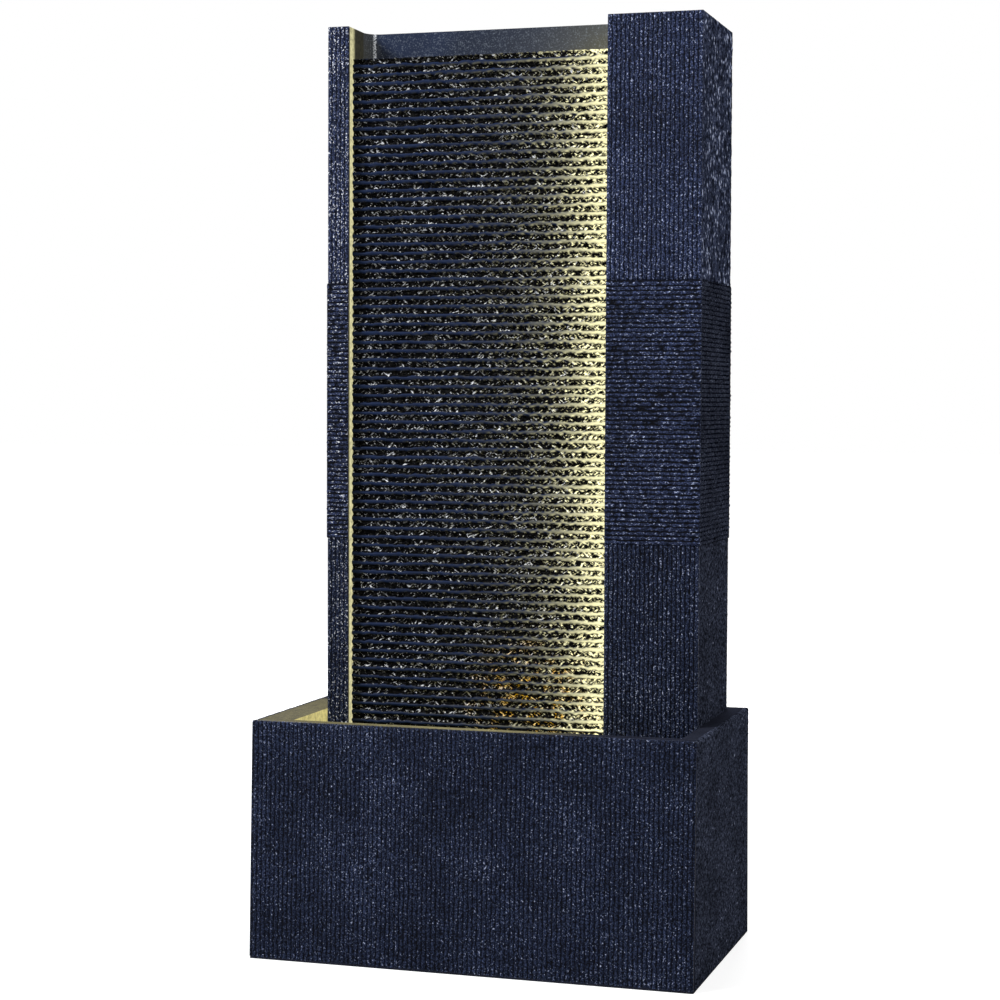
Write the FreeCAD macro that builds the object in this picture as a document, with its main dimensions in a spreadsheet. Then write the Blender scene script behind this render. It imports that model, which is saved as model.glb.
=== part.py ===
import FreeCAD, Part
import math
import os
import re

import Sketcher

# Garden wall fountain: a rectangular basin with a tower standing in its rear half.
# Water is pumped up behind a ribbed wall into a trough, spills over the wall's top edge and
# runs down its ribs, lit by a light strip in the wide pillar and a lamp in the basin.
# Millimetres, +Z up, front towards -Y, origin on the floor under the middle of the basin.

Vector = FreeCAD.Vector

# Driving dimensions: name, value and what it measures
SIZES = [
    ("basin_width", 600, "outside width of the basin"),
    ("basin_top_depth", 340, "outside depth of the basin at its rim"),
    ("basin_batter", 10, "how far the front and the back lean out at the floor"),
    ("basin_height", 315, "height of the rim above the floor"),
    ("basin_floor", 12, "thickness of the basin's floor"),
    ("front_rim", 23, "width of the rim in front"),
    ("rear_rim", 24, "width of the rim behind"),
    ("right_rim", 24, "width of the rim on the right"),
    ("left_rim", 50, "width of the deck on the left"),
    ("relief_skin", 10, "skin left round the hollow under the left deck"),
    ("edge_round", 3, "rounding of the basin's outer edges"),
    ("tower_height", 1242, "height of the tower's top above the floor"),
    ("tower_depth", 191, "depth of the pillars"),
    ("tower_rear_gap", 3, "gap between the tower and the rear rim"),
    ("pillar_gap", 1.5, "gap between the wide pillar and the right rim"),
    ("right_pillar_width", 126, "width of the wide pillar"),
    ("left_pillar_width", 29, "width of the narrow pillar"),
    ("pillar_skin", 10, "wall thickness of the pillar castings"),
    ("block_height", 345, "height of the middle block of each pillar"),
    ("block_step", 1, "how far the middle block stands proud"),
    ("left_pocket", 9.5, "gap between the narrow pillar and the left deck"),
    ("wall_setback", 15, "distance of the ribs behind the pillars' front"),
    ("wall_plate", 12, "thickness of the ribbed wall behind its ribs"),
    ("wall_reveal", 42, "distance of the spill edge below the tower's top"),
    ("return_gap", 48, "gap under the ribbed wall where the water returns"),
    ("rib_pitch", 12, "pitch of the wall's ribs"),
    ("rib_depth", 6, "depth of the wall's ribs"),
    ("rib_land", 5, "height of a rib's front face"),
    ("rib_slope", 3, "height of a rib's upper slope"),
    ("header_setback", 77, "distance of the header's face behind the pillars' front"),
    ("header_plate", 12, "thickness of the header"),
    ("header_cove", 20, "radius of the cove in the header's left corner"),
    ("trough_depth", 52, "depth of the trough below the spill edge"),
    ("trough_floor", 8, "thickness of the trough's floor"),
    ("trough_lip", 6, "thickness of the trough's front lip"),
    ("lip_drop", 2, "distance of the lip below the spill edge"),
    ("rear_plate", 10, "thickness of the rear panel and of the door in it"),
    ("cover_plate", 12, "thickness of the top cover"),
    ("batten", 15, "width and depth of the battens behind the rear panel"),
    ("screw_radius", 2, "shank radius of the screws"),
    ("screw_head", 4, "head radius of the screws"),
    ("screw_head_height", 2.2, "head height of the screws"),
    ("screw_grip", 8, "length of a screw in the piece that it holds"),
    ("hole_clearance", 0.1, "radial clearance of a screw or hose in its seat"),
    ("panel_screw_inset", 60, "distance of the end screws from the panel's ends"),
    ("bracket_leg", 26, "leg length of the wall brackets"),
    ("bracket_plate", 2, "thickness of the wall brackets"),
    ("bracket_width", 30, "height of the wall brackets"),
    ("bracket_rise", 105, "height of the lower brackets above the rim"),
    ("bracket_drop", 90, "distance of the upper brackets below the trough"),
    ("door_width", 200, "width of the door opening"),
    ("door_height", 240, "height of the door opening"),
    ("door_above_rim", 27, "height of the door opening above the rim"),
    ("door_gap", 1.5, "gap round the door"),
    ("knuckle_radius", 4, "outer radius of the hinge knuckles"),
    ("hinge_pin_radius", 2, "radius of the hinge pins"),
    ("running_clearance", 0.05, "radial clearance of a pin or shaft in its bore"),
    ("hinge_lift", 0.4, "gap between the knuckles and the panel"),
    ("hinge_height", 36, "height of a hinge"),
    ("hinge_leaf", 22, "width of a hinge leaf"),
    ("leaf_plate", 2, "thickness of a hinge leaf"),
    ("hinge_inset", 45, "distance of the hinges from the door opening's ends"),
    ("part_gap", 0.3, "gap between pieces that move past each other"),
    ("knob_radius", 11, "radius of the door knob"),
    ("knob_length", 16, "how far the door knob stands out"),
    ("knob_inset", 24, "distance of the knob from the door's free edge"),
    ("catch_depth", 10, "depth of the magnetic catch"),
    ("catch_reach", 12, "how far the catch reaches behind the door"),
    ("catch_height", 24, "height of the magnetic catch"),
    ("catch_plate", 1.5, "thickness of the steel plate on the door"),
    ("outlet_bore", 7, "bore radius of the cable grommet"),
    ("outlet_wall", 3, "thickness of the grommet's sleeve"),
    ("outlet_flange", 3, "thickness and reach of the grommet's flanges"),
    ("outlet_above_rim", 45, "height of the grommet above the rim"),
    ("led_slot", 10, "width of the light slot in the wide pillar"),
    ("led_depth", 8, "depth of the light slot"),
    ("led_edge", 2.5, "resin left in front of the light slot"),
    ("led_below_rim", 10, "distance of the slot's end below the rim"),
    ("led_below_spill", 4, "distance of the slot's end below the spill edge"),
    ("led_fit", 0.2, "clearance of the channel in its slot"),
    ("led_channel_skin", 1, "skin of the aluminium channel"),
    ("led_board", 0.8, "thickness of the strip's board"),
    ("led_chip", 3.5, "width and height of a light chip"),
    ("led_chip_depth", 1.2, "how far a light chip stands out"),
    ("led_pitch", 16.6, "pitch of the light chips"),
    ("led_cover", 1.5, "thickness of the diffuser"),
    ("led_cap", 3, "length of an end cap"),
    ("spot_offset", 80, "distance of the basin lamp right of the wall's middle"),
    ("spot_radius", 20, "radius of the lamp's housing"),
    ("spot_length", 40, "length of the lamp's housing"),
    ("spot_skin", 3, "wall thickness of the lamp's housing"),
    ("spot_cavity", 24, "depth of the lamp's cavity"),
    ("spot_lens", 3, "thickness of the lamp's lens"),
    ("spot_bezel", 6, "length of the lamp's bezel"),
    ("spot_bezel_step", 2, "how far the bezel stands out round the housing"),
    ("spot_tilt", 30, "tilt of the lamp towards the wall in degrees"),
    ("spot_arm", 2, "thickness of the lamp's yoke"),
    ("spot_arm_gap", 4, "gap between the lamp's housing and its yoke"),
    ("spot_arm_width", 14, "width of the lamp's yoke"),
    ("spot_pivot_height", 33, "height of the lamp's pivot above its yoke's base"),
    ("spot_cup_radius", 24, "radius of the lamp's suction cup"),
    ("spot_cup_height", 10, "height of the lamp's suction cup"),
    ("pump_offset", 90, "distance of the pump's joint right of the wall's middle"),
    ("pump_width", 60, "depth of the pump from front to back"),
    ("pump_height", 62, "height of the pump's body"),
    ("pump_round", 6, "rounding of the pump's long edges"),
    ("motor_length", 58, "length of the pump's motor block"),
    ("volute_length", 20, "length of the impeller housing"),
    ("intake_length", 22, "length of the intake cover"),
    ("cover_skin", 2.5, "wall thickness of the intake cover"),
    ("pump_cup_height", 8, "height of the pump's suction cups"),
    ("pump_cup_radius", 9, "radius of the pump's suction cups"),
    ("rotor_radius", 8.7, "radius of the magnet rotor"),
    ("rotor_length", 40, "length of the magnet rotor"),
    ("rotor_gap", 0.8, "gap between the rotor and its well"),
    ("chamber_radius", 20, "radius of the impeller chamber"),
    ("chamber_depth", 14, "depth of the impeller chamber"),
    ("blade_radius", 16, "radius of the impeller"),
    ("blade_height", 8, "height of the impeller's blades"),
    ("blade_plate", 1.6, "thickness of the impeller's blades and disc"),
    ("blade_count", 6, "number of impeller blades"),
    ("shaft_radius", 1.5, "radius of the ceramic shaft"),
    ("bush_radius", 3.5, "radius of the shaft's rubber bushes"),
    ("bush_length", 5, "length of the shaft's rubber bushes"),
    ("dial_radius", 11, "radius of the flow dial"),
    ("dial_plate", 3, "thickness of the flow dial"),
    ("dial_stub", 2.5, "radius of the flow dial's stub"),
    ("outlet_boss", 10, "height of the pump's outlet boss"),
    ("nipple_radius", 6.4, "outer radius of the hose nipples"),
    ("nipple_bore", 4.8, "bore radius of the hose nipples"),
    ("nipple_length", 24, "length of the hose nipples"),
    ("nipple_collar", 2, "width and thickness of the pump nipple's collar"),
    ("hose_wall", 3, "wall thickness of the riser hose"),
    ("hose_bow", 18, "sideways bow of the riser hose"),
    ("clamp_width", 9, "width of the hose clamps"),
    ("clamp_band", 1, "thickness of the hose clamps' band"),
    ("clamp_screw", 4, "reach and half width of the clamps' screw blocks"),
    ("feed_offset", 60, "distance of the trough's inlet right of the wall's middle"),
    ("fitting_thread", 9, "thread radius of the trough's fitting"),
    ("fitting_flange", 16, "flange radius of the trough's fitting"),
    ("flange_plate", 3, "thickness of the fitting's flange"),
    ("gasket_plate", 2, "thickness of the fitting's gasket"),
    ("nut_plate", 6, "thickness of the fitting's nut"),
    ("spigot_radius", 7, "radius of the fitting's upper spigot"),
    ("spreader_radius", 10, "outer radius of the spreader pipe"),
    ("spreader_wall", 1.5, "wall thickness of the spreader pipe"),
    ("spreader_end", 20, "distance of the spreader's ends from the trough's"),
    ("spreader_lift", 4, "height of the spreader pipe above the flange"),
    ("spreader_hole", 2, "radius of the spreader's holes"),
    ("spreader_holes", 15, "number of holes in the spreader"),
    ("drain_offset", 150, "distance of the drain left of the basin's middle"),
    ("drain_bore", 9, "bore radius of the drain bush"),
    ("drain_wall", 3, "wall thickness of the drain bush"),
    ("drain_flange", 18, "flange radius of the drain bush"),
    ("drain_seat_inset", 4, "resin behind the flat seat of the drain bush"),
    ("drain_rise", 9, "height of the drain's lip above the basin's floor"),
]

doc = FreeCAD.newDocument("GardenWallFountain")
sizes = doc.addObject("Spreadsheet::Sheet", "Sizes")
for row, (alias, value, meaning) in enumerate(SIZES, start=1):
    sizes.set(f"A{row}", alias)
    sizes.set(f"B{row}", str(value))
    sizes.set(f"C{row}", meaning)
    sizes.setAlias(f"B{row}", alias)
doc.recompute()

ALIAS = re.compile(r"\b(" + "|".join(alias for alias, value, meaning in SIZES) + r")\b")

# A cutter runs this far past the face that it opens
PAST = 1

# Places that several pieces share, as expressions of the driving dimensions
HALF_WIDTH = "(basin_width / 2)"
HALF_DEPTH = "(basin_top_depth / 2)"
WELL_LEFT = f"(left_rim - {HALF_WIDTH})"
WELL_RIGHT = f"({HALF_WIDTH} - right_rim)"
WELL_FRONT = f"(front_rim - {HALF_DEPTH})"
WELL_BACK = f"({HALF_DEPTH} - rear_rim)"
PILLAR_RIGHT = f"({WELL_RIGHT} - pillar_gap)"
WALL_RIGHT = f"({PILLAR_RIGHT} - right_pillar_width)"
PILLAR_LEFT = f"({WELL_LEFT} + left_pocket)"
WALL_LEFT = f"({PILLAR_LEFT} + left_pillar_width)"
WALL_MIDDLE = f"(({WALL_LEFT} + {WALL_RIGHT}) / 2)"
TOWER_BACK = f"({WELL_BACK} - tower_rear_gap)"
TOWER_FRONT = f"({TOWER_BACK} - tower_depth)"
RIB_FRONT = f"({TOWER_FRONT} + wall_setback)"
RIB_BACK = f"({RIB_FRONT} + rib_depth)"
WALL_BACK = f"({RIB_BACK} + wall_plate)"
WALL_FOOT = "(basin_floor + return_gap)"
SPILL_EDGE = "(tower_height - wall_reveal)"
HEADER_FACE = f"({TOWER_FRONT} + header_setback)"
HEADER_BACK = f"({HEADER_FACE} + header_plate)"
TROUGH_BOTTOM = f"({SPILL_EDGE} - trough_depth - trough_floor)"
TROUGH_FLOOR = f"({SPILL_EDGE} - trough_depth)"
TROUGH_MIDDLE = f"(({WALL_BACK} + trough_lip + {HEADER_FACE}) / 2)"
REAR_FACE = f"({TOWER_BACK} - rear_plate)"
BLOCK_TOP = "(tower_height - block_height)"
HOLE_RADIUS = "(screw_radius + hole_clearance)"


def linked(text):
    """Return an expression with each size's name pointing at the sheet."""
    return ALIAS.sub(r"Sizes.\1", str(text))


def number(text):
    """Return an expression's present value."""
    return float(sizes.evalExpression(linked(text)))


def bind(item, prop, text):
    """Tie one property of an object to an expression."""
    item.setExpression(prop, linked(text))


def bind_place(item, x, y, z):
    """Tie an object's position to three expressions."""
    for letter, text in zip("xyz", (x, y, z)):
        bind(item, f"Placement.Base.{letter}", text)


# Turn that lays an object's own Z axis along a world axis
TURNS = {
    "X": FreeCAD.Rotation(Vector(0, 1, 0), 90),
    "Y": FreeCAD.Rotation(Vector(1, 0, 0), -90),
    "Z": FreeCAD.Rotation(),
}


def block(x0, x1, y0, y1, z0, z1, label="Block"):
    """Make a box between two corners."""
    box = doc.addObject("Part::Box", "Block")
    box.Label = label
    for prop, low, high in (("Length", x0, x1), ("Width", y0, y1), ("Height", z0, z1)):
        bind(box, prop, f"({high}) - ({low})")
    bind_place(box, x0, y0, z0)
    return box


def rod(axis, x, y, z, radius, length, label="Rod"):
    """Make a cylinder that starts at a point and runs along an axis."""
    cylinder = doc.addObject("Part::Cylinder", "Rod")
    cylinder.Label = label
    cylinder.Placement = FreeCAD.Placement(Vector(), TURNS[axis])
    bind(cylinder, "Radius", radius)
    bind(cylinder, "Height", length)
    bind_place(cylinder, x, y, z)
    return cylinder


def cone(x, y, z, foot, top, height):
    """Make an upright cone frustum."""
    frustum = doc.addObject("Part::Cone", "Cone")
    bind(frustum, "Radius1", foot)
    bind(frustum, "Radius2", top)
    bind(frustum, "Height", height)
    bind_place(frustum, x, y, z)
    return frustum


def fuse(label, pieces):
    """Join pieces that overlap or touch."""
    joined = doc.addObject("Part::MultiFuse", "Fuse")
    joined.Label = label
    joined.Shapes = pieces
    joined.Refine = True
    return joined


def cut(label, base, tools):
    """Cut tools out of a base."""
    result = doc.addObject("Part::Cut", "Cut")
    result.Label = label
    result.Base = base
    result.Tool = tools[0] if len(tools) == 1 else fuse("Cutters", tools)
    return result


def group(label, pieces):
    """Gather like pieces that stay separate solids."""
    gathered = doc.addObject("Part::Compound", "Group")
    gathered.Label = label
    gathered.Links = pieces
    return gathered


def new_body(label):
    """Start an empty body."""
    body = doc.addObject("PartDesign::Body", "Body")
    body.Label = label
    return body


def origin_part(body, role):
    """Return one plane or axis of a body's origin."""
    return next(item for item in body.Origin.OriginFeatures if item.Role == role)


def sketch(body, role, place="0"):
    """Attach a sketch to a body's origin plane, moved to a place along the plane's world axis."""
    drawn = body.newObject("Sketcher::SketchObject", "Sketch")
    drawn.AttachmentSupport = (origin_part(body, role), [""])
    drawn.MapMode = "FlatFace"
    # The XZ plane's normal points to -Y, and the others point along their positive axis
    bind(drawn, "AttachmentOffset.Base.z", f"-({place})" if role == "XZ_Plane" else place)
    return drawn


def fix_point(drawn, geometry, point, x, y):
    """Tie a sketch point to two expressions."""
    for kind, text in (("DistanceX", x), ("DistanceY", y)):
        rule = Sketcher.Constraint(kind, -1, 1, geometry, point, number(text))
        index = drawn.addConstraint(rule)
        bind(drawn, f"Constraints[{index}]", text)


def outline(drawn, points):
    """Draw a closed outline through points given as pairs of expressions."""
    corners = [Vector(number(x), number(y), 0) for x, y in points]
    first = drawn.GeometryCount
    count = len(points)
    for index in range(count):
        drawn.addGeometry(Part.LineSegment(corners[index], corners[(index + 1) % count]), False)
    for index in range(count):
        following = first + (index + 1) % count
        drawn.addConstraint(Sketcher.Constraint("Coincident", first + index, 2, following, 1))
        fix_point(drawn, first + index, 1, *points[index])


def rectangle(drawn, x0, x1, y0, y1):
    """Draw a rectangle between two corners."""
    outline(drawn, [(x0, y0), (x1, y0), (x1, y1), (x0, y1)])


def circle(drawn, x, y, radius):
    """Draw a circle."""
    centre = Vector(number(x), number(y), 0)
    index = drawn.addGeometry(Part.Circle(centre, Vector(0, 0, 1), number(radius)), False)
    fix_point(drawn, index, 3, x, y)
    rule = drawn.addConstraint(Sketcher.Constraint("Radius", index, number(radius)))
    bind(drawn, f"Constraints[{rule}]", radius)


def pad(body, drawn, length, backwards=False):
    """Raise a sketch along its plane's normal, or against it."""
    raised = body.newObject("PartDesign::Pad", "Pad")
    raised.Profile = drawn
    raised.Reversed = backwards
    bind(raised, "Length", length)
    return raised


def pocket(body, drawn, depth, backwards=False):
    """Cut a sketch against its plane's normal, or along it, and see that it cut something."""
    doc.recompute()
    before = body.Shape.Volume
    hollow = body.newObject("PartDesign::Pocket", "Pocket")
    hollow.Profile = drawn
    hollow.Reversed = backwards
    bind(hollow, "Length", depth)
    doc.recompute()
    if body.Shape.Volume > before - 1e-3:
        raise ValueError(f"a pocket in {body.Label} cuts nothing")
    return hollow


def round_edges(body, radius, wanted):
    """Round the edges of a body that a test picks by their middle and ends."""
    doc.recompute()
    base = body.Tip
    names = []
    for index, edge in enumerate(base.Shape.Edges, start=1):
        if wanted(edge.CenterOfMass, [corner.Point for corner in edge.Vertexes]):
            names.append(f"Edge{index}")
    rounded = body.newObject("PartDesign::Fillet", "Round")
    rounded.Base = (base, names)
    bind(rounded, "Radius", radius)
    return rounded


def turned(label, profile, place, axis="Z"):
    """Make a turned piece from an outline of radius and height, with its axis along X, Y or Z."""
    body = new_body(label)
    half = sketch(body, "XZ_Plane")
    outline(half, profile)
    spun = body.newObject("PartDesign::Revolution", "Revolution")
    spun.Profile = half
    spun.ReferenceAxis = (half, ["V_Axis"])
    spun.Angle = 360
    body.Placement = FreeCAD.Placement(Vector(), TURNS[axis])
    bind_place(body, *place)
    return body


def near(first, second):
    """Say whether two lengths agree."""
    return abs(first - second) < 0.01


# Basin

DRAIN_X = "(-drain_offset)"
DRAIN_Z = "(basin_floor + drain_rise + drain_bore)"
DRAIN_SEAT = f"({WELL_BACK} + rear_rim + basin_batter - drain_seat_inset)"


def make_basin():
    """Cast basin: leaning front and back, a well, a hollow left deck and a drain hole."""
    body = new_body("basin")
    side = sketch(body, "YZ_Plane", f"-{HALF_WIDTH}")
    outline(side, [
        (f"-({HALF_DEPTH} + basin_batter)", "0"),
        (f"{HALF_DEPTH} + basin_batter", "0"),
        (HALF_DEPTH, "basin_height"),
        (f"-{HALF_DEPTH}", "basin_height"),
    ])
    pad(body, side, "basin_width")
    half_width = number(HALF_WIDTH)
    half_depth = number(HALF_DEPTH)
    height = number("basin_height")

    def outer(middle, ends):
        """Pick the four leaning corners and the four outer edges of the rim."""
        on_side = near(abs(middle.x), half_width)
        on_rim = near(middle.z, height)
        leaning = on_side and not near(ends[0].z, ends[-1].z)
        return leaning or (on_rim and (on_side or near(abs(middle.y), half_depth)))

    round_edges(body, "edge_round", outer)
    well = sketch(body, "XY_Plane", "basin_height")
    rectangle(well, WELL_LEFT, WELL_RIGHT, WELL_FRONT, WELL_BACK)
    pocket(body, well, "basin_height - basin_floor")
    relief = sketch(body, "XY_Plane")
    rectangle(relief, f"relief_skin - {HALF_WIDTH}", f"{WELL_LEFT} - relief_skin",
              WELL_FRONT, WELL_BACK)
    pocket(body, relief, "basin_height - basin_floor", backwards=True)
    hole = sketch(body, "XZ_Plane", f"{WELL_BACK} - {PAST}")
    circle(hole, DRAIN_X, DRAIN_Z, "drain_bore + drain_wall")
    pocket(body, hole, f"rear_rim + basin_batter + {2 * PAST}")
    seat = sketch(body, "XZ_Plane", DRAIN_SEAT)
    circle(seat, DRAIN_X, DRAIN_Z, "drain_flange + part_gap")
    pocket(body, seat, f"drain_seat_inset + {PAST}")
    return body


def make_drain():
    """Drain bush bonded in the rear wall, and the rubber plug pushed into it from behind."""
    sleeve = f"({DRAIN_SEAT} - {WELL_BACK})"
    outer = "(drain_bore + drain_wall)"
    # Height 0 is the seat, and the bush points to the back
    bush = turned("drain_bush", [
        ("drain_bore", f"-{sleeve}"),
        (outer, f"-{sleeve}"),
        (outer, "0"),
        ("drain_flange", "0"),
        ("drain_flange", "drain_seat_inset / 2"),
        ("drain_bore", "drain_seat_inset / 2"),
    ], (DRAIN_X, DRAIN_SEAT, DRAIN_Z), "Y")
    face = "(drain_seat_inset / 2 + part_gap)"
    plug = turned("drain_plug", [
        ("0", f"part_gap - {sleeve}"),
        ("drain_bore - 2 * part_gap", f"part_gap - {sleeve}"),
        ("drain_bore - part_gap", face),
        ("drain_flange - 4", face),
        ("drain_flange - 4", "drain_seat_inset"),
        ("0", "drain_seat_inset"),
    ], (DRAIN_X, DRAIN_SEAT, DRAIN_Z), "Y")
    return [bush, plug]


# Tower castings

LED_MIDDLE = f"({TOWER_FRONT} + led_edge + led_slot / 2)"
LED_FOOT = "(basin_height - led_below_rim)"
LED_TOP = f"({SPILL_EDGE} - led_below_spill)"
BRACKET_HEIGHTS = ("(basin_height + bracket_rise)", f"({TROUGH_BOTTOM} - bracket_drop)")
BRACKET_HOLE = "(bracket_plate + (bracket_leg - bracket_plate) / 2)"


def make_pillar(label, left, right, inner, outer_left, outer_right):
    """Hollow pillar, open below, with a proud middle block and pilot holes in its inner face."""
    body = new_body(label)
    foot = sketch(body, "XY_Plane", "basin_floor")
    rectangle(foot, left, right, TOWER_FRONT, TOWER_BACK)
    pad(body, foot, "tower_height - basin_floor")
    belt = sketch(body, "XY_Plane", f"{BLOCK_TOP} - block_height")
    rectangle(belt, outer_left, outer_right, f"{TOWER_FRONT} - block_step", TOWER_BACK)
    pad(body, belt, "block_height")
    hollow = sketch(body, "XY_Plane", "basin_floor")
    rectangle(hollow, f"{left} + pillar_skin", f"{right} - pillar_skin",
              f"{TOWER_FRONT} + pillar_skin", f"{TOWER_BACK} - pillar_skin")
    pocket(body, hollow, "tower_height - basin_floor - pillar_skin", backwards=True)
    pilots = sketch(body, "YZ_Plane", inner)
    for height in BRACKET_HEIGHTS:
        circle(pilots, f"{WALL_BACK} + {BRACKET_HOLE}", height, HOLE_RADIUS)
    pocket(body, pilots, "screw_grip + hole_clearance", backwards=inner == WALL_RIGHT)
    return body


def make_left_pillar():
    """Narrow pillar on the left."""
    return make_pillar("left_pillar", PILLAR_LEFT, WALL_LEFT, WALL_LEFT,
                       f"{PILLAR_LEFT} - block_step", WALL_LEFT)


def make_right_pillar():
    """Wide pillar on the right, with the slot for the light strip in its inner face."""
    body = make_pillar("right_pillar", WALL_RIGHT, PILLAR_RIGHT, WALL_RIGHT,
                       WALL_RIGHT, f"{PILLAR_RIGHT} + block_step")
    slot = sketch(body, "YZ_Plane", WALL_RIGHT)
    rectangle(slot, f"{LED_MIDDLE} - led_slot / 2", f"{LED_MIDDLE} + led_slot / 2",
              LED_FOOT, LED_TOP)
    pocket(body, slot, "led_depth", backwards=True)
    return body


def make_water_wall():
    """Ribbed wall that the water runs down, its ribs patterned from the spill edge."""
    body = new_body("water_wall")
    plate = sketch(body, "XY_Plane", WALL_FOOT)
    rectangle(plate, WALL_LEFT, WALL_RIGHT, RIB_BACK, WALL_BACK)
    pad(body, plate, f"{SPILL_EDGE} - {WALL_FOOT}")
    pilots = sketch(body, "XZ_Plane", WALL_BACK)
    for height in BRACKET_HEIGHTS:
        circle(pilots, f"{WALL_LEFT} + {BRACKET_HOLE}", height, HOLE_RADIUS)
        circle(pilots, f"{WALL_RIGHT} - {BRACKET_HOLE}", height, HOLE_RADIUS)
    pocket(body, pilots, "screw_grip + hole_clearance", backwards=True)
    rib = sketch(body, "YZ_Plane", WALL_LEFT)
    outline(rib, [
        (f"{RIB_BACK} + 1", SPILL_EDGE),
        (RIB_BACK, SPILL_EDGE),
        (RIB_FRONT, f"{SPILL_EDGE} - rib_slope"),
        (RIB_FRONT, f"{SPILL_EDGE} - rib_slope - rib_land"),
        (RIB_BACK, f"{SPILL_EDGE} - rib_slope - rib_land - 1"),
        (f"{RIB_BACK} + 1", f"{SPILL_EDGE} - rib_slope - rib_land - 1"),
    ])
    first = pad(body, rib, f"{WALL_RIGHT} - {WALL_LEFT}")
    rows = body.newObject("PartDesign::LinearPattern", "Ribs")
    rows.Originals = [first]
    rows.Direction = (origin_part(body, "Z_Axis"), [""])
    rows.Reversed = True
    rows.Mode = "Spacing"
    bind(rows, "Offset", "rib_pitch")
    bind(rows, "Occurrences", f"floor(({SPILL_EDGE} - {WALL_FOOT}) / rib_pitch)")
    body.Tip = rows
    return body


def make_header_trough():
    """Trough behind the spill edge and the smooth header that rises at its back."""
    tray = block(WALL_LEFT, WALL_RIGHT, WALL_BACK, HEADER_BACK, TROUGH_BOTTOM, TROUGH_FLOOR)
    lip = block(WALL_LEFT, WALL_RIGHT, WALL_BACK, f"{WALL_BACK} + trough_lip",
                TROUGH_BOTTOM, f"{SPILL_EDGE} - lip_drop")
    header = block(WALL_LEFT, WALL_RIGHT, HEADER_FACE, HEADER_BACK,
                   TROUGH_BOTTOM, "tower_height")
    corner = block(WALL_LEFT, f"{WALL_LEFT} + header_cove", f"{HEADER_FACE} - header_cove",
                   HEADER_FACE, TROUGH_FLOOR, "tower_height")
    scoop = rod("Z", f"{WALL_LEFT} + header_cove", f"{HEADER_FACE} - header_cove",
                f"{TROUGH_FLOOR}", "header_cove", "tower_height - " + TROUGH_FLOOR)
    cove = cut("Cove", corner, [scoop])
    inlet = rod("Z", FEED_X, TROUGH_MIDDLE, f"{TROUGH_BOTTOM} - {PAST}",
                "fitting_thread + hole_clearance", f"trough_floor + {2 * PAST}")
    return cut("header_trough", fuse("Header", [tray, lip, header, cove]), [inlet])


# Back of the tower

DOOR_LEFT = f"({WALL_MIDDLE} - door_width / 2)"
DOOR_RIGHT = f"({WALL_MIDDLE} + door_width / 2)"
DOOR_FOOT = "(basin_height + door_above_rim)"
DOOR_TOP = f"({DOOR_FOOT} + door_height)"
OUTLET_X = f"(({DOOR_RIGHT} + {WALL_RIGHT} - batten) / 2)"
OUTLET_Z = "(basin_height + outlet_above_rim)"
PANEL_SCREW_X = (f"({WALL_LEFT} + batten / 2)", f"({WALL_RIGHT} - batten / 2)")
PANEL_SCREW_Z = (
    f"({WALL_FOOT} + panel_screw_inset)",
    f"(({WALL_FOOT} + tower_height) / 2)",
    "(tower_height - panel_screw_inset)",
)
PANEL_SCREW_LENGTH = "(rear_plate + screw_grip)"


def panel_screw_places():
    """List the places of the rear panel's screws."""
    return [(x, z) for x in PANEL_SCREW_X for z in PANEL_SCREW_Z]


def panel_screw_holes():
    """Make the cutters for the rear panel's screws."""
    start = f"{TOWER_BACK} - {PANEL_SCREW_LENGTH} - hole_clearance"
    length = f"{PANEL_SCREW_LENGTH} + hole_clearance + {PAST}"
    return [rod("Y", x, start, z, HOLE_RADIUS, length) for x, z in panel_screw_places()]


def make_back():
    """Rear panel with its door opening, the battens it is screwed to, and the top cover."""
    plate = block(WALL_LEFT, WALL_RIGHT, REAR_FACE, TOWER_BACK, WALL_FOOT, "tower_height")
    doorway = block(DOOR_LEFT, DOOR_RIGHT, f"{REAR_FACE} - {PAST}", f"{TOWER_BACK} + {PAST}",
                    DOOR_FOOT, DOOR_TOP)
    cable = rod("Y", OUTLET_X, f"{REAR_FACE} - {PAST}", OUTLET_Z,
                "outlet_bore + outlet_wall", f"rear_plate + {2 * PAST}")
    panel = cut("rear_panel", plate, [doorway, cable] + panel_screw_holes())
    top = "tower_height - cover_plate"
    strips = [
        block(WALL_LEFT, f"{WALL_LEFT} + batten", f"{REAR_FACE} - batten", REAR_FACE,
              "basin_floor", top),
        block(f"{WALL_RIGHT} - batten", WALL_RIGHT, f"{REAR_FACE} - batten", REAR_FACE,
              "basin_floor", top),
    ]
    battens = cut("rear_battens", group("Strips", strips), panel_screw_holes())
    cover = block(WALL_LEFT, WALL_RIGHT, HEADER_BACK, REAR_FACE, top, "tower_height",
                  "top_cover")
    return [panel, battens, cover]


def make_panel_screws():
    """Six pan-head screws through the rear panel into the battens."""
    screws = []
    for x, z in panel_screw_places():
        shank = rod("Y", x, f"{TOWER_BACK} - {PANEL_SCREW_LENGTH}", z, "screw_radius",
                    PANEL_SCREW_LENGTH)
        head = rod("Y", x, TOWER_BACK, z, "screw_head", "screw_head_height")
        screws.append(fuse("Screw", [shank, head]))
    return group("panel_screws", screws)


def make_grommet():
    """Rubber grommet in the rear panel, the way out for the mains cable."""
    sleeve = "(outlet_bore + outlet_wall)"
    collar = f"({sleeve} + outlet_flange)"
    return turned("cable_grommet", [
        ("outlet_bore", "-rear_plate - outlet_flange"),
        (collar, "-rear_plate - outlet_flange"),
        (collar, "-rear_plate"),
        (sleeve, "-rear_plate"),
        (sleeve, "0"),
        (collar, "0"),
        (collar, "outlet_flange"),
        ("outlet_bore", "outlet_flange"),
    ], (OUTLET_X, TOWER_BACK, OUTLET_Z), "Y")


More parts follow.
